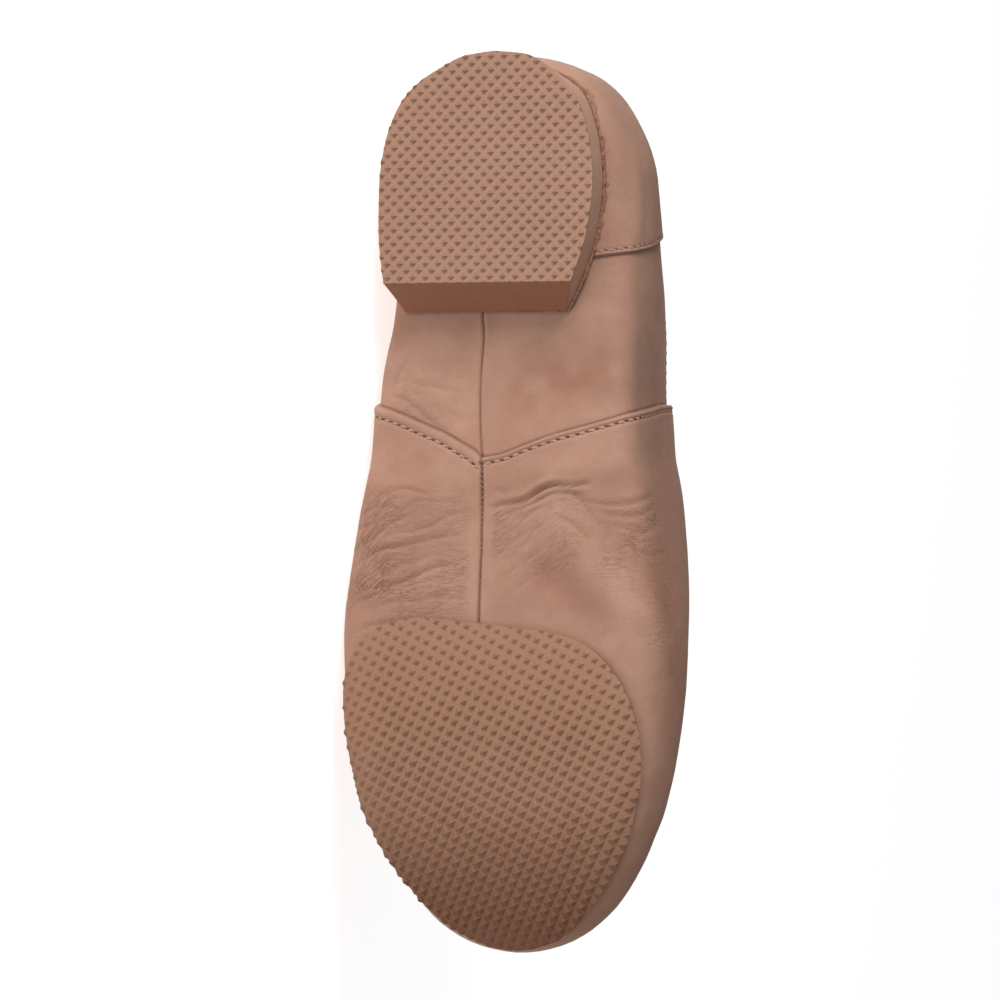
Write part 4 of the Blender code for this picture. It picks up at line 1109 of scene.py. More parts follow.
def tread_sheet(outline, turn, pitch, share, tip):
    """Square pyramids on a turned lattice, cut to a convex outline: places, level from 0 to 1, faces."""
    outline = np.asarray(outline)
    u = np.array([cos(turn), sin(turn)]) * pitch[0]
    v = np.array([-sin(turn), cos(turn)]) * pitch[1]
    middle = outline.mean(0)
    far = np.linalg.norm(outline - middle, axis=1).max() + max(pitch)
    count = int(far / min(pitch)) + 1
    bm = bmesh.new()
    corners = {}
    for i in range(-count, count + 1):
        for j in range(-count, count + 1):
            corners[i, j] = bm.verts.new((*(middle + u * (i - 0.5) + v * (j - 0.5)), 0))
    for i in range(-count, count):
        for j in range(-count, count):
            centre = middle + u * i + v * j
            if np.linalg.norm(centre - middle) > far:
                continue
            cell = [corners[i, j], corners[i + 1, j], corners[i + 1, j + 1], corners[i, j + 1]]
            rings = [cell]
            wide = share[0] + (share[1] - share[0]) * ease((centre[0] - middle[0]) / far + 0.5)
            for size, level in ((wide, 0.0), (tip, 1.0)):
                ring = []
                for a, b in ((-1, -1), (1, -1), (1, 1), (-1, 1)):
                    spot = centre + (u * a + v * b) * size / 2
                    ring.append(bm.verts.new((*spot, level)))
                rings.append(ring)
            for inner, outer in zip(rings, rings[1:]):
                for k in range(4):
                    bm.faces.new((inner[k], inner[(k + 1) % 4], outer[(k + 1) % 4], outer[k]))
            bm.faces.new(rings[-1])
    bmesh.ops.delete(bm, geom=[vert for vert in bm.verts if not vert.link_faces], context="VERTS")
    for k in range(len(outline)):
        a, b = outline[k], outline[(k + 1) % len(outline)]
        step = b - a
        out = np.array([step[1], -step[0]])
        if out @ (a - middle) < 0:
            out = -out
        geom = list(bm.verts) + list(bm.edges) + list(bm.faces)
        side = Vector((*out, 0)).normalized()
        bmesh.ops.bisect_plane(bm, geom=geom, dist=1e-9, plane_co=(*a, 0), plane_no=side, clear_outer=True)
    bmesh.ops.remove_doubles(bm, verts=bm.verts, dist=2e-6)
    bmesh.ops.recalc_face_normals(bm, faces=bm.faces)
    bm.verts.index_update()
    places = np.array([vert.co[:] for vert in bm.verts])
    faces = [[vert.index for vert in face.verts] for face in bm.faces]
    if sum(face.normal.z for face in bm.faces) < 0:
        faces = [face[::-1] for face in faces]
    edges = dict.fromkeys(pair for face in faces for pair in zip(face, face[1:] + face[:1]))
    rim = [(a, b) for a, b in edges if (b, a) not in edges]
    bm.free()
    return places, faces, rim, rim_mask(rim, len(places))


def rim_mask(rim, size):
    """1 for each point on the rim, 0 for the others."""
    mask = np.zeros(size)
    mask[np.unique(np.array(rim))] = 1.0
    return mask


def convex(outline):
    """The outline without its shallow hollows."""
    points = sorted(map(tuple, np.round(outline, 9)))
    hull = []
    for run in (points, points[::-1]):
        part = []
        for point in run:
            while len(part) > 1 and cross2(part[-2], part[-1], point) <= 0:
                part.pop()
            part.append(point)
        hull += part[:-1]
    return np.array(hull)


def cross2(a, b, c):
    return (b[0] - a[0]) * (c[1] - a[1]) - (b[1] - a[1]) * (c[0] - a[0])


def stack_walls(rim, layers):
    """Quads that join the rim of one sheet through copies of its points, layer over layer."""
    faces = []
    for low, high in zip(layers, layers[1:]):
        faces += [[a + low, a + high, b + high, b + low] for a, b in rim]
    return faces


# Treads: pitch both ways, turn, width of a pyramid's base back and front as shares of the
# pitch, height, and width of its tip
PATCH_PITCH = (3.04 * MM, 2.73 * MM)
PATCH_TURN = radians(27.2)
PATCH_BASE = (0.58, 0.90)
PATCH_LEVEL = 0.90 * MM
HEEL_PITCH = (2.58 * MM, 2.58 * MM)
HEEL_TURN = radians(45)
HEEL_BASE = (0.60, 0.60)
HEEL_LEVEL = 0.74 * MM
TIP = 0.10
BLOCK_LAYERS = (0.05, 0.12, 0.3, 0.5, 0.7, 0.88, 1.0)  # of the block's height, above the tread


def make_patch():
    """Thin rubber sole of the forefoot, glued on and pulled up towards the toe."""
    outline = convex(patch_outline(84))
    places, faces, rim, edge = tread_sheet(outline, PATCH_TURN, PATCH_PITCH, PATCH_BASE, TIP)
    p, q, level = places.T
    toe_worn = 0.25 + 0.75 * ease((LENGTH * 0.996 - p) / (9 * MM))
    back_worn = 0.55 + 0.45 * ease((p - 0.632 * LENGTH) / (26 * MM))
    back_worn = back_worn * (1 - 0.35 * ease((q - 28 * MM) / (9 * MM)))
    wear = toe_worn * back_worn * (0.92 + 0.10 * soft_noise(p / (7 * MM), q / (7 * MM), 51))
    thick = PATCH_THICKNESS - PATCH_LEVEL + PATCH_LEVEL * level * wear
    base, normal = surface(p, q), surface_normal(p, q)
    outward = unit(np.stack([p - p.mean(), q - q.mean()], 1))
    lip = edge * soft_noise(p / (2.6 * MM), q / (2.6 * MM), 52) * 0.12 * MM
    layers = []
    for share, bulge in ((1.0, lip), (0.82, 0.10 * MM), (0.40, 0.12 * MM), (0.0, 0.0)):
        layer = base + normal * (CLEARANCE + share * thick)[:, None]
        layer[:, :2] += outward * np.reshape(bulge, (-1, 1))
        layers.append(layer)
    size, sheet = len(places), len(faces)
    faces += stack_walls(rim, [0, size, 2 * size, 3 * size])
    faces += shifted(faces[:sheet], 3 * size)
    # Painted shade that grows towards the toe, where the sole curves away from the light
    soil = 0.15 * ease((p / MM - 150) / 40) + 0.85 * ease((p / MM - 195) / 44)
    values = {
        "level": np.concatenate([level * wear, -0.6 * edge, -edge, -edge]),
        # Side walls of the sole, marked for painted shade
        "rim": np.concatenate([edge * 0.25, edge, edge, edge]),
        "soil": np.tile(soil, 4),
    }
    points = np.vstack(layers)
    return new_piece("forefoot_tread", points, faces, [patch_rubber], None, False, values)


def make_heel():
    """Rubber heel block: pyramid tread, slanted breast, sides that lean in to the upper."""
    low = convex(block_ring(BLOCK_LENGTH, 0.0))
    centre = block_centre()
    places, faces, rim, edge = tread_sheet(low, HEEL_TURN, HEEL_PITCH, HEEL_BASE, TIP)
    plan, level = places[:, :2], places[:, 2]
    size, body = len(places), len(faces)
    high = on_block(plan, centre)
    seat = seat_height(high[:, 0], high[:, 1]) - CLEARANCE
    wear = 0.93 + 0.07 * soft_noise(plan[:, 0] / (9 * MM), plan[:, 1] / (9 * MM), 61)
    layers = [np.column_stack([plan, HEEL_LEVEL * (1 - level * wear)])]
    for share in BLOCK_LAYERS:
        here = plan + (high - plan) * share
        ripple = soft_noise(here[:, 0] / (6 * MM), here[:, 1] / (6 * MM) + share * 3, 62)
        ripple = 0.16 * MM * ripple * np.sin(pi * share) * edge
        here = here + unit(here - centre) * ripple[:, None]
        layers.append(np.column_stack([here, HEEL_LEVEL + (seat - HEEL_LEVEL) * share]))
    faces = [face[::-1] for face in faces]
    rim = [(b, a) for a, b in rim]
    faces += stack_walls(rim, [k * size for k in range(len(layers))])
    faces += shifted(faces[:body], (len(layers) - 1) * size)
    shares = np.repeat(np.linspace(0, 1, len(layers)), size)
    levels = np.concatenate([level * wear] + [np.zeros(size)] * (len(layers) - 1))
    # Painted shade on the breast, which faces away from the light
    front = np.tile(plan[:, 0] > BLOCK_LENGTH - 0.4 * MM, len(layers)) * (shares > 0)
    soil = front * (0.85 + 0.15 * np.minimum(shares * 4, 1))
    # Side walls, marked more towards the seat, for painted light
    values = {"level": levels, "rim": shares * np.tile(edge, len(layers)), "soil": soil}
    return new_piece("heel_block", np.vstack(layers), faces, [heel_rubber], None, False, values)


def block_centre():
    return np.array([BLOCK_CENTRE.along * BLOCK_LENGTH, BLOCK_CENTRE.across * BLOCK_WIDTH])


def block_ring(length, taper_in):
    """Outline of the heel block at one level, from one breast corner round the back to the other."""
    x = length * (1 - np.cos(np.linspace(0, pi / 2, 31))) ** 1.1
    line = x / BLOCK_LENGTH
    lean = taper_in * ease(line / BLOCK_SIDES[4].along)
    lateral = column_of(BLOCK_SIDES, "lateral", line, "along") * BLOCK_WIDTH - lean
    medial = column_of(BLOCK_SIDES, "medial", line, "along") * BLOCK_WIDTH - lean
    return np.concatenate([np.stack([x, lateral], 1)[::-1], np.stack([x, -medial], 1)[1:]])


def with_breast(ring, steps=24):
    """The ring with points along its straight breast."""
    share = np.arange(1, steps)[:, None] / steps
    return np.vstack([ring, ring[-1] + (ring[0] - ring[-1]) * share])


def under_upper(outline):
    """The same outline, kept where the upper's underside is still nearly level."""
    middle = spine(np.clip(outline[:, 0], HEEL_CENTRE * LENGTH, LENGTH) / LENGTH)
    centre, dx, dy, away = rays(outline[:, 0], outline[:, 1] - middle)
    away = np.minimum(away, SEAT_REACH * reach(centre, dx, dy))
    return np.stack([centre + dx * away, middle + dy * away], 1)


def block_outlines():
    """The block's outline at the tread and at the seat."""
    low = with_breast(block_ring(BLOCK_LENGTH, 0.0))
    high = with_breast(under_upper(block_ring(BLOCK_LENGTH + BREAST_SLANT, BLOCK_TAPER)))
    return low, high


def on_block(plan, centre):
    """Where each place of the tread lies on the block's upper face."""
    low, high = block_outlines()
    angle = np.arctan2(low[:, 1] - centre[1], low[:, 0] - centre[0])
    order = np.argsort(angle)
    angle, low, high = angle[order], low[order], high[order]
    angle = np.concatenate([angle[-1:] - 2 * pi, angle, angle[:1] + 2 * pi])
    low = np.vstack([low[-1:], low, low[:1]])
    high = np.vstack([high[-1:], high, high[:1]])
    away = plan - centre
    here = np.arctan2(away[:, 1], away[:, 0])
    reach_low = np.linalg.norm(read_at(here, angle, low) - centre, axis=1)
    share = np.hypot(away[:, 0], away[:, 1]) / np.maximum(reach_low, TINY)
    return centre + (read_at(here, angle, high) - centre) * share[:, None]


def make_insole():
    """Cover of the insole, a thin padded sheet over the inside of the bottom."""
    heel, toe = HEEL_CENTRE * LENGTH, TOE_CENTRE * LENGTH
    stations = [place * MM for place in ramp(heel / MM, toe / MM, INSOLE_STEP)] + [toe]
    shares = [INSOLE_SHARE * k / INSOLE_ROWS for k in range(INSOLE_ROWS + 1)]
    form = skin(stations, 12, shares)
    flat = form.points.reshape(-1, 3)
    faces = ring_faces(form.ids)
    at = form.ids.reshape(-1)
    normals = vertex_normals(flat, faces)[at]
    if normals[form.ids[20, 3]][2] < 0:
        normals = -normals
        faces = [face[::-1] for face in faces]
    p, q = form.p.reshape(-1), form.q.reshape(-1)
    share = np.tile(np.array(shares) / shares[-1], len(form.ids))
    soft = 0.10 * soft_noise(p / 11.0, q / 11.0, 71) - 0.30 * bell((share - 0.93) / 0.05, 1.0)
    rounded = np.sqrt(np.clip(1 - ((share - 0.97) / 0.03).clip(0, 1) ** 2, 0.12, 1))
    lift = WALL + CLEARANCE
    low = flat[at] + normals * lift
    high = flat[at] + normals * (lift + (INSOLE_THICKNESS + soft * MM) * rounded)[:, None]
    outline = form.ids[:, -1].tolist()
    faces += shifted(faces, len(flat))
    for a, b in zip(outline, outline[1:] + outline[:1]):
        faces.append([a, a + len(flat), b + len(flat), b])
    return new_piece("insole_cover", np.vstack([high, low]), faces, [insole_cloth])


def strip_at(form, grid, offset_of, side, base_at):
    """Places on a line that runs beside a stitched edge, row by row from the seam to the top."""
    base = form.base[: len(form.base) // 2 + 1] / MM
    middle = form.middle[: len(base)]
    columns = np.nonzero(middle)[0]
    found = []
    for row in range(form.ids.shape[1]):
        want = base_at + offset_of[row]
        k = np.clip(np.searchsorted(base[columns], want), 1, len(columns) - 1)
        a, b = columns[k - 1], columns[k]
        share = (want - base[a]) / max(base[b] - base[a], 1e-9)
        if side < 0:
            a, b = len(form.base) - a, len(form.base) - b
        found.append(grid[a, row] * (1 - share) + grid[b, row] * share)
    return np.array(found)


def spaced(points, normals, pitch, start, stop_short=0.0):
    """Points every pitch along a line, with direction and normal."""
    arc = arc_of(points)
    at = np.arange(start, arc[-1] - stop_short, pitch)
    along = read_at(at + 0.4 * MM, arc, points) - read_at(at - 0.4 * MM, arc, points)
    return read_at(at, arc, points), unit(along), unit(read_at(at, arc, normals))


def capsules(spots, along, ups, length, radius, flat, slant, sink, seed):
    """Short round threads, joined: each lies along its line, turned by the slant, its ends sunk."""
    random = np.random.default_rng(seed)
    rings = ((-1.0, 0.12), (-0.82, 0.62), (-0.45, 0.93), (0.0, 1.0))
    rings += ((0.45, 0.93), (0.82, 0.62), (1.0, 0.12))
    around = 8
    points, faces = [], []
    for spot, way, up in zip(spots, along, ups):
        side = np.cross(up, way)
        side /= np.linalg.norm(side)
        way = np.cross(side, up)
        turn = slant + random.normal(0, 0.05)
        ahead = way * cos(turn) + side * sin(turn)
        aside = side * cos(turn) - way * sin(turn)
        long = length * random.uniform(0.93, 1.05) / 2
        thick = radius * random.uniform(0.93, 1.06)
        start = len(points)
        for t, wide in rings:
            middle = spot + ahead * long * t + up * (thick * flat * 0.35 - sink * t * t)
            for k in range(around):
                angle = 2 * pi * k / around
                points.append(middle + (aside * cos(angle) + up * sin(angle) * flat) * thick * wide)
        for ring in range(len(rings) - 1):
            for k in range(around):
                a, b = start + ring * around + k, start + ring * around + (k + 1) % around
                faces.append([a, a + around, b + around, b])
        faces.append([start + k for k in range(around)])
        faces.append([start + (len(rings) - 1) * around + k for k in range(around)][::-1])
    return np.array(points), faces


def joined(parts):
    points, faces, start = [], [], 0
    for some, their_faces in parts:
        points.append(some)
        faces += [[k + start for k in face] for face in their_faces]
        start += len(some)
    return np.vstack(points), faces


def stitch_row(line, lifts, kind, start, side, seed, hole_seed):
    """One row of stitches, and dark marks of painted shade for the needle holes between them, half a pitch
    further on.
    """
    pitch, flat, hole_flat = STITCH_PITCH * MM, 0.8, 0.30
    spots = spaced(line, lifts, pitch, start * MM, kind.stop * MM)
    long, thick, sink = kind.long * MM, kind.thick * MM, kind.sink * MM
    row = capsules(*spots, long, thick, flat, kind.slant * side, sink, seed)
    spots = spaced(line, lifts, pitch, start * MM + pitch / 2, kind.hole_stop * MM)
    long, thick = kind.hole_long * MM, kind.hole_thick * MM
    return row, capsules(*spots, long, thick, hole_flat, kind.hole_slant * side, 0.0, hole_seed)


def make_threads(form, outer, normals):
    """Stitches of the hem, the counter, the collar and the seam, and dark marks of painted shade for the
    holes between them.
    """
    count, size = form.ids.shape
    grid = outer.reshape(count, size, 3)
    ups = normals.reshape(count, size, 3)
    made = []
    lap, counter = LAP_SIDE * LENGTH / MM, COUNTER_FRONT * LENGTH / MM
    for side, start in ((1, 1.8), (-1, 2.4)):
        across = form.across[side * (FAN_STEPS + 30)]
        inset = STITCH_IN[side] * hem_stretch(across)
        line, lifts = (strip_at(form, values, inset, side, lap) for values in (grid, ups))
        made.append(stitch_row(line, lifts, HEM_THREAD, start, side, 81 + side, 83 + side))
        inset = np.full(size, -COUNTER_STITCH)
        line, lifts = (strip_at(form, values, inset, side, counter) for values in (grid, ups))
        made.append(stitch_row(line, lifts, COUNTER_THREAD, 1.0, side, 85 + side, 87 + side))
    loop, lifts = collar_line(form, grid, ups)
    made.append(stitch_row(loop, lifts, COLLAR_THREAD, 0.5, 1, 91, 92))
    ahead = (form.p[:, 0] > 108.6) & (form.p[:, 0] < SEAM_TO - 2) & form.middle
    first = np.nonzero(ahead[: count // 2])[0]
    spots, along, up = spaced(grid[first, 0], ups[first, 0], 1.4 * MM, 0.3 * MM)
    medial = np.cross(up, along)
    medial *= np.where(medial[:, 1:2] > 0, -1.0, 1.0)
    spots = spots + medial * 0.22 * MM + up * 0.14 * MM
    whip = capsules(spots, along, up, 1.35 * MM, 0.23 * MM, 0.8, 0.70, 0.14 * MM, 93)
    return joined([row for row, _ in made]), joined([holes for _, holes in made]), whip


def collar_line(form, grid, ups):
    """The line of the collar's stitches, all round, from the throat over the lateral side."""
    count = len(form.ids)
    open_count = int(form.open_top[: count // 2 + 1].sum())
    order = [*range(open_count - 1, -1, -1), *range(count - 1, count - open_count, -1)]
    line, lifts = [], []
    for column in order:
        if form.base[column] <= THROAT * LENGTH - 1.4 * MM:
            path = grid[column][::-1]
            arc = arc_of(path)
            line.append(read_at([COLLAR_STITCH * MM], arc, path)[0])
            lifts.append(read_at([COLLAR_STITCH * MM], arc, ups[column][::-1])[0])
    return np.array(line), np.array(lifts)


def make_glue():
    """A thin uneven line of dried glue where the heel block meets the leather."""
    _, high = block_outlines()
    ring = np.vstack([high, high[:1]])
    arc = arc_of(ring)
    at = np.arange(0, arc[-1], 0.45 * MM)
    plan = read_at(at, arc, ring)
    ahead = unit(np.roll(plan, -2, axis=0) - np.roll(plan, 2, axis=0))
    out = np.column_stack([ahead[:, 1], -ahead[:, 0]])
    out *= np.sign(np.sum(out * (plan - block_centre()), axis=1))[:, None]
    key = at / (1.7 * MM)
    half = np.full_like(key, 0.5)
    rough = soft_noise(key, half, 95) + 0.6 * soft_noise(key * 2.7, half, 96)
    medial = ease((-plan[:, 1] + 4 * MM) / (14 * MM))
    breast = ease((plan[:, 0] - BLOCK_LENGTH - BREAST_SLANT + 0.6 * MM) / (0.5 * MM))
    wide = np.maximum((0.20 + 0.20 * rough + 0.26 * medial) * (1 - 0.72 * breast), 0.10) * MM
    plan = plan + out * (0.10 + 0.25 * medial[:, None]) * MM
    z = seat_height(plan[:, 0], plan[:, 1]) - 0.15 * MM
    around = 8
    points, faces = [], []
    for k in range(len(at)):
        after = (k + 1) % len(at)
        for j in range(around):
            angle = 2 * pi * j / around
            shift = out[k] * cos(angle) * wide[k] * 1.25
            points.append((*(plan[k] + shift), z[k] + sin(angle) * wide[k] * 0.8))
            b = (j + 1) % around
            faces.append([k * around + j, after * around + j, after * around + b, k * around + b])
    return new_piece("glue_line", np.array(points), faces, [glue])


class Shade:
    """Short hand for a material's nodes. Places are read in metres, in the model's frame."""

    def __init__(self, name, roughness, specular):
        self.material = bpy.data.materials.new(name)
        self.material.use_nodes = True
        self.tree = self.material.node_tree
        self.shader = self.tree.nodes["Principled BSDF"]
        self.shader.inputs["Roughness"].default_value = roughness
        self.shader.inputs["Specular IOR Level"].default_value = specular
        self.place = self.tree.nodes.new("ShaderNodeTexCoord").outputs["Object"]

    def add(self, kind, **values):
        node = self.tree.nodes.new(kind)
        for key, value in values.items():
            setattr(node, key, value)
        return node

    def link(self, source, target):
        self.tree.links.new(source, target)

    def field(self, name):
        return self.add("ShaderNodeAttribute", attribute_name=name).outputs["Fac"]

    def noise(self, scale, detail=2.0, rough=0.5, place=None, stretch=None):
        node = self.add("ShaderNodeTexNoise")
        node.inputs["Scale"].default_value = scale
        node.inputs["Detail"].default_value = detail
        node.inputs["Roughness"].default_value = rough
        place = place or self.place
        if stretch is not None:
            mapping = self.add("ShaderNodeMapping")
            mapping.inputs["Scale"].default_value = stretch
            self.link(place, mapping.inputs["Vector"])
            place = mapping.outputs["Vector"]
        self.link(place, node.inputs["Vector"])
        return node.outputs["Fac"]

    def ramp(self, source, low, high, to_low=0.0, to_high=1.0):
        node = self.add("ShaderNodeMapRange", interpolation_type="SMOOTHSTEP")
        names = ("From Min", "From Max", "To Min", "To Max")
        for socket, value in zip(names, (low, high, to_low, to_high)):
            node.inputs[socket].default_value = value
        self.link(source, node.inputs["Value"])
        return node.outputs["Result"]

    def math(self, operation, a, b):
        node = self.add("ShaderNodeMath", operation=operation)
        for socket, value in zip(node.inputs, (a, b)):
            if isinstance(value, (int, float)):
                socket.default_value = value
            else:
                self.link(value, socket)
        return node.outputs["Value"]

    def mix(self, factor, a, b):
        node = self.add("ShaderNodeMix", data_type="RGBA")
        self.link(factor, node.inputs["Factor"])
        colours = {socket.name: socket for socket in node.inputs if socket.type == "RGBA"}
        for name, value in (("A", a), ("B", b)):
            if isinstance(value, tuple):
                colours[name].default_value = (*value, 1.0)
            else:
                self.link(value, colours[name])
        return next(socket for socket in node.outputs if socket.type == "RGBA")

    def tint(self, colour, factor, weight, target):
        """The colour, moved towards the target by this share of the factor."""
        return self.mix(self.math("MULTIPLY", factor, weight), colour, target)

    def clouds(self, scale, detail, rough, low, high):
        """Noise with its contrast raised between these levels."""
        return self.ramp(self.noise(scale, detail, rough), low, high)

    def lines(self, source, level, width, strength):
        """Thin lines where a noise passes one level."""
        away = self.math("ABSOLUTE", self.math("SUBTRACT", source, level), 0.0)
        return self.ramp(away, 0.0, width, strength, 0.0)

    def colour(self, source):
        self.link(source, self.shader.inputs["Base Color"])

    def bumps(self, *heights):
        """Chain of bumps, each a height source with its depth in metres."""
        normal = None
        for source, depth, strength in heights:
            node = self.add("ShaderNodeBump")
            node.inputs["Distance"].default_value = depth
            node.inputs["Strength"].default_value = strength
            self.link(source, node.inputs["Height"])
            if normal is not None:
                self.link(normal, node.inputs["Normal"])
            normal = node.outputs["Normal"]
        self.link(normal, self.shader.inputs["Normal"])

    def sheen(self, weight, roughness):
        self.shader.inputs["Sheen Weight"].default_value = weight
        self.shader.inputs["Sheen Roughness"].default_value = roughness


LEATHER_LIGHT = (0.425, 0.246, 0.176)
LEATHER_DEEP = (0.325, 0.173, 0.118)
# Colour of the stains and random freckles, and of the painted shade on the medial side, the toe and beside
# the fold
LEATHER_STAIN_AND_SHADE = (0.265, 0.125, 0.082)
# Colour of the painted shade in creases, wrinkles and along the stitched edges, and of the seam's dark line
LEATHER_SHADE_AND_SEAM = (0.135, 0.060, 0.036)
LEATHER_PALE = (0.56, 0.38, 0.30)
GLUE_CRUST = (0.240, 0.098, 0.058)
DUST = (0.52, 0.36, 0.27)


def leather_material(name):
    """Soft dyed glove leather: uneven dye, fine grain, stains, dried glue, painted shade in creases,
    wrinkles, along the stitched edges, on the medial side and towards the toe, and a painted highlight on
    the raised top of the vamp's fold.
    """
    shade = Shade(name, 0.56, 0.12)
    cloud = shade.clouds(46.0, 3.0, 0.55, 0.34, 0.68)
    colour = shade.tint(LEATHER_LIGHT, cloud, 0.55, LEATHER_DEEP)
    colour = shade.tint(colour, shade.clouds(240.0, 3.0, 0.6, 0.42, 0.72), 0.28, LEATHER_DEEP)
    colour = shade.tint(colour, shade.clouds(1150.0, 2.0, 0.7, 0.55, 0.80), 0.22, LEATHER_STAIN_AND_SHADE)
    colour = shade.tint(colour, shade.clouds(900.0, 2.0, 0.6, 0.56, 0.82), 0.16, LEATHER_PALE)
    # Stains, and the painted shade and highlight that the stain mask carries
    colour = shade.tint(colour, shade.field("stain"), 0.62, LEATHER_STAIN_AND_SHADE)
    pattern = shade.add("ShaderNodeAttribute", attribute_name="pattern").outputs["Vector"]
    wrinkles = shade.noise(1.0, 3.0, 0.58, pattern, (0.56, 0.13, 0.0))
    crinkles = shade.noise(1.0, 2.0, 0.55, pattern, (0.95, 0.26, 0.0))
    valley = shade.lines(wrinkles, 0.5, 0.028, 1.0)
    valley = shade.math("MAXIMUM", valley, shade.lines(crinkles, 0.48, 0.030, 0.6))
    lined = shade.math("MULTIPLY", valley, shade.field("wrinkle"))
    # Painted shade in the wrinkle valleys
    colour = shade.tint(colour, lined, 0.42, LEATHER_SHADE_AND_SEAM)
    # Painted shade in the creases, and the seam's dark line
    colour = shade.tint(colour, shade.field("crease"), 0.80, LEATHER_SHADE_AND_SEAM)
    rough = shade.math("MULTIPLY", shade.noise(900.0, 3.0, 0.7), 0.9)
    crust = shade.ramp(shade.math("ADD", shade.field("spilt"), rough), 0.85, 1.15)
    colour = shade.tint(colour, crust, 0.50, GLUE_CRUST)
    # Painted shadow line along the edges of the hem and the counter
    shade.colour(shade.tint(colour, shade.field("edge"), 0.62, LEATHER_SHADE_AND_SEAM))
    cells = shade.add("ShaderNodeTexVoronoi", feature="DISTANCE_TO_EDGE")
    cells.inputs["Scale"].default_value = 1250.0
    shade.link(shade.place, cells.inputs["Vector"])
    grain = shade.ramp(cells.outputs["Distance"], 0.0, 0.22)
    fine = shade.noise(2600.0, 3.0, 0.6)
    soft = shade.noise(330.0, 3.0, 0.55)
    sunk = shade.math("MULTIPLY", lined, -1.0)
    shade.bumps(
        (soft, 0.00022, 0.55),
        (sunk, 0.00017, 0.9),
        (crust, 0.00016, 0.8),
        (grain, 0.00004, 0.45),
        (fine, 0.00005, 0.35),
    )
    gloss = shade.ramp(soft, 0.3, 0.7, 0.50, 0.64)
    gloss = shade.math("SUBTRACT", gloss, shade.math("MULTIPLY", grain, 0.05))
    shade.link(gloss, shade.shader.inputs["Roughness"])
    shade.sheen(0.02, 0.5)
    return shade.material


# Painted tone of a rubber piece's side walls: colour, weight, and the low and high levels of the wall mask
# it spans
WallLightAndShade = namedtuple("WallLightAndShade", "colour weight low high")


def rubber_material(name, light, deep, worn, side, painted_shade_colour):
    """Matt rubber, darker in its pores, with painted highlight in the valleys, painted shade up the
    pyramids, side walls in a painted tone of their own, light on the heel block and dark on the forefoot
    sole, and painted shade from a mask.
    """
    shade = Shade(name, 0.72, 0.28)
    colour = shade.tint(light, shade.clouds(60.0, 3.0, 0.55, 0.32, 0.70), 0.6, deep)
    colour = shade.tint(colour, shade.clouds(1500.0, 2.0, 0.7, 0.54, 0.80), 0.35, worn)
    colour = shade.tint(colour, shade.clouds(760.0, 3.0, 0.65, 0.58, 0.78), 0.22, DUST)
    level = shade.field("level")
    # Painted highlight in the valleys between the pyramids
    valley = shade.ramp(level, 0.02, 0.15, 1.0, 0.0)
    colour = shade.tint(colour, valley, 0.62, tuple(1.30 * c for c in light))
    # Painted shade up the pyramids towards their tips
    colour = shade.tint(colour, shade.ramp(level, 0.12, 0.45), 0.30, deep)
    # Side walls in their painted tone: painted light on the heel block, painted shade on the forefoot sole
    wall_light_and_shade = shade.ramp(shade.field("rim"), side.low, side.high)
    colour = shade.tint(colour, wall_light_and_shade, side.weight, side.colour)
    # Painted shade towards the toe of the sole and on the heel's breast
    shade.colour(shade.tint(colour, shade.field("soil"), 0.76, painted_shade_colour))
    fine = shade.noise(2100.0, 4.0, 0.65)
    broad = shade.noise(420.0, 3.0, 0.6)
    shade.bumps((broad, 0.00010, 0.5), (fine, 0.00006, 0.6))
    shade.link(shade.ramp(broad, 0.3, 0.7, 0.66, 0.80), shade.shader.inputs["Roughness"])
    return shade.material


def cloth_material(name, light, deep, nap):
    """Brushed cotton: a fine nap over a faint weave."""
    shade = Shade(name, 0.9, 0.2)
    colour = shade.tint(light, shade.clouds(55.0, 3.0, 0.6, 0.3, 0.7), 0.5, deep)
    threads = shade.noise(1700.0, 2.0, 0.6, None, (1.0, 0.35, 1.0))
    shade.colour(shade.tint(colour, shade.ramp(threads, 0.45, 0.75), 0.35, deep))
    fuzz = shade.noise(3000.0, 4.0, 0.7)
    shade.bumps((threads, 0.00012, 0.6), (fuzz, 0.00010, 0.5))
    shade.sheen(nap, 0.6)
    return shade.material


def thread_material(name, light, deep, scale):
    """Twisted sewing thread."""
    shade = Shade(name, 0.6, 0.3)
    fibres = shade.ramp(shade.noise(scale, 2.0, 0.6), 0.4, 0.65)
    shade.colour(shade.mix(fibres, light, deep))
    shade.bumps((shade.noise(scale * 1.4, 3.0, 0.6), 0.00008, 0.6))
    return shade.material


def floor_material():
    shade = Shade("floor", 0.9, 0.1)
    shade.shader.inputs["Base Color"].default_value = (0.86, 0.86, 0.86, 1.0)
    shade.shader.inputs["Emission Color"].default_value = (1.0, 1.0, 1.0, 1.0)
    shade.shader.inputs["Emission Strength"].default_value = FLOOR_GLOW
    return shade.material


# Studio: glow of the floor, brightness of the sky, power of the two lights, half the floor's side
FLOOR_GLOW = 0.68
SKY = 0.33
KEY_POWER = 13.5
FILL_POWER = 0.8
FLOOR_HALF = 9.0


def add_light(name, place, size, power):
    """A square soft light that faces the shoe."""
    data = bpy.data.lights.new(name, "AREA")
    data.shape = "SQUARE"
    data.size = size
    data.energy = power
    light = bpy.data.objects.new(name, data)
    bpy.context.scene.collection.objects.link(light)
    light.location = place
    aim = Vector((0.0, 0.0, 0.045)) - Vector(place)
    light.rotation_euler = aim.to_track_quat("-Z", "Y").to_euler()


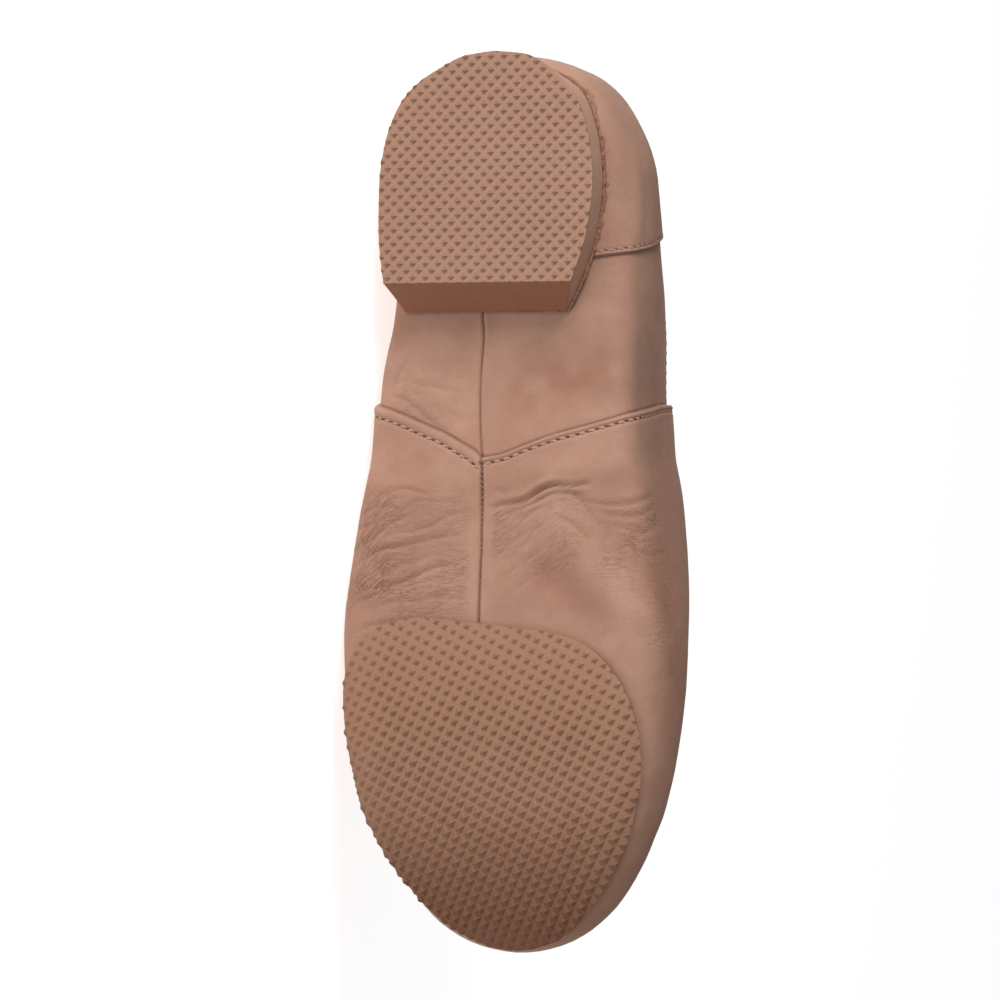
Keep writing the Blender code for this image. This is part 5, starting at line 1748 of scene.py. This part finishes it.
def add_studio():
    scene = bpy.context.scene
    world = bpy.data.worlds.new("studio")
    world.use_nodes = True
    world.node_tree.nodes["Background"].inputs["Color"].default_value = (1.0, 1.0, 1.0, 1.0)
    world.node_tree.nodes["Background"].inputs["Strength"].default_value = SKY
    scene.world = world
    scene.view_settings.view_transform = "Standard"
    scene.view_settings.look = "None"
    add_light("key", (-1.10, -0.80, 0.32), 0.50, KEY_POWER)
    add_light("fill", (0.5, -1.2, 0.75), 0.8, FILL_POWER)
    mesh = bpy.data.meshes.new("floor")
    corners = [(x * FLOOR_HALF, y * FLOOR_HALF, 0) for x, y in ((-1, -1), (1, -1), (1, 1), (-1, 1))]
    mesh.from_pydata(corners, [], [(0, 1, 2, 3)])
    mesh.materials.append(floor_material())
    floor = bpy.data.objects.new("floor", mesh)
    scene.collection.objects.link(floor)


def settle(piece, slot, *nodes):
    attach(piece, "root")
    if nodes:
        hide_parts(*nodes)


leather = leather_material("upper_leather")
lining = cloth_material("lining_cloth", (0.68, 0.50, 0.37), (0.54, 0.38, 0.27), 0.15)
insole_cloth = cloth_material("insole_cloth", (0.72, 0.55, 0.42), (0.56, 0.41, 0.30), 0.20)
heel_rubber = rubber_material(
    "heel_rubber",
    (0.306, 0.173, 0.117),
    (0.259, 0.139, 0.090),
    (0.165, 0.078, 0.050),
    # Painted light on the block's side walls
    WallLightAndShade((0.510, 0.300, 0.212), 0.80, 0.02, 0.30),
    # Colour of the painted shade on the breast
    (0.200, 0.058, 0.020),
)
patch_rubber = rubber_material(
    "sole_rubber",
    (0.288, 0.155, 0.096),
    (0.234, 0.117, 0.069),
    (0.130, 0.056, 0.034),
    # Painted shade on the sole's side walls
    WallLightAndShade((0.130, 0.056, 0.034), 0.45, 0.70, 1.0),
    # Colour of the painted shade towards the toe
    (0.135, 0.046, 0.022),
)
thread = thread_material("thread", (0.46, 0.285, 0.205), (0.30, 0.165, 0.112), 2400.0)
dark_thread = thread_material("dark_thread", (0.27, 0.145, 0.098), (0.16, 0.078, 0.050), 2400.0)
# Dark marks that paint the shade in the needle holes
hole_shade = thread_material("needle_holes", (0.115, 0.052, 0.034), (0.075, 0.033, 0.022), 900.0)
glue = thread_material("dried_glue", (0.330, 0.165, 0.105), (0.190, 0.082, 0.048), 900.0)

upper, form, outer, normals = make_upper()
settle(upper, "upper_leather", "upper")
settle(make_patch(), "sole_rubber", "forefoot_sole")
settle(make_heel(), "heel_rubber", "heel")
settle(make_insole(), "insole_lining", "insole")
stitches, needle_holes, seam_stitches = make_threads(form, outer, normals)
settle(new_piece("stitches", *stitches, [thread]), "upper_leather")
settle(new_piece("needle_holes", *needle_holes, [hole_shade]), "upper_leather")
settle(new_piece("seam_stitches", *seam_stitches, [dark_thread]), "upper_leather")
settle(make_glue(), "heel_rubber")
add_studio()

bpy.context.view_layer.update()
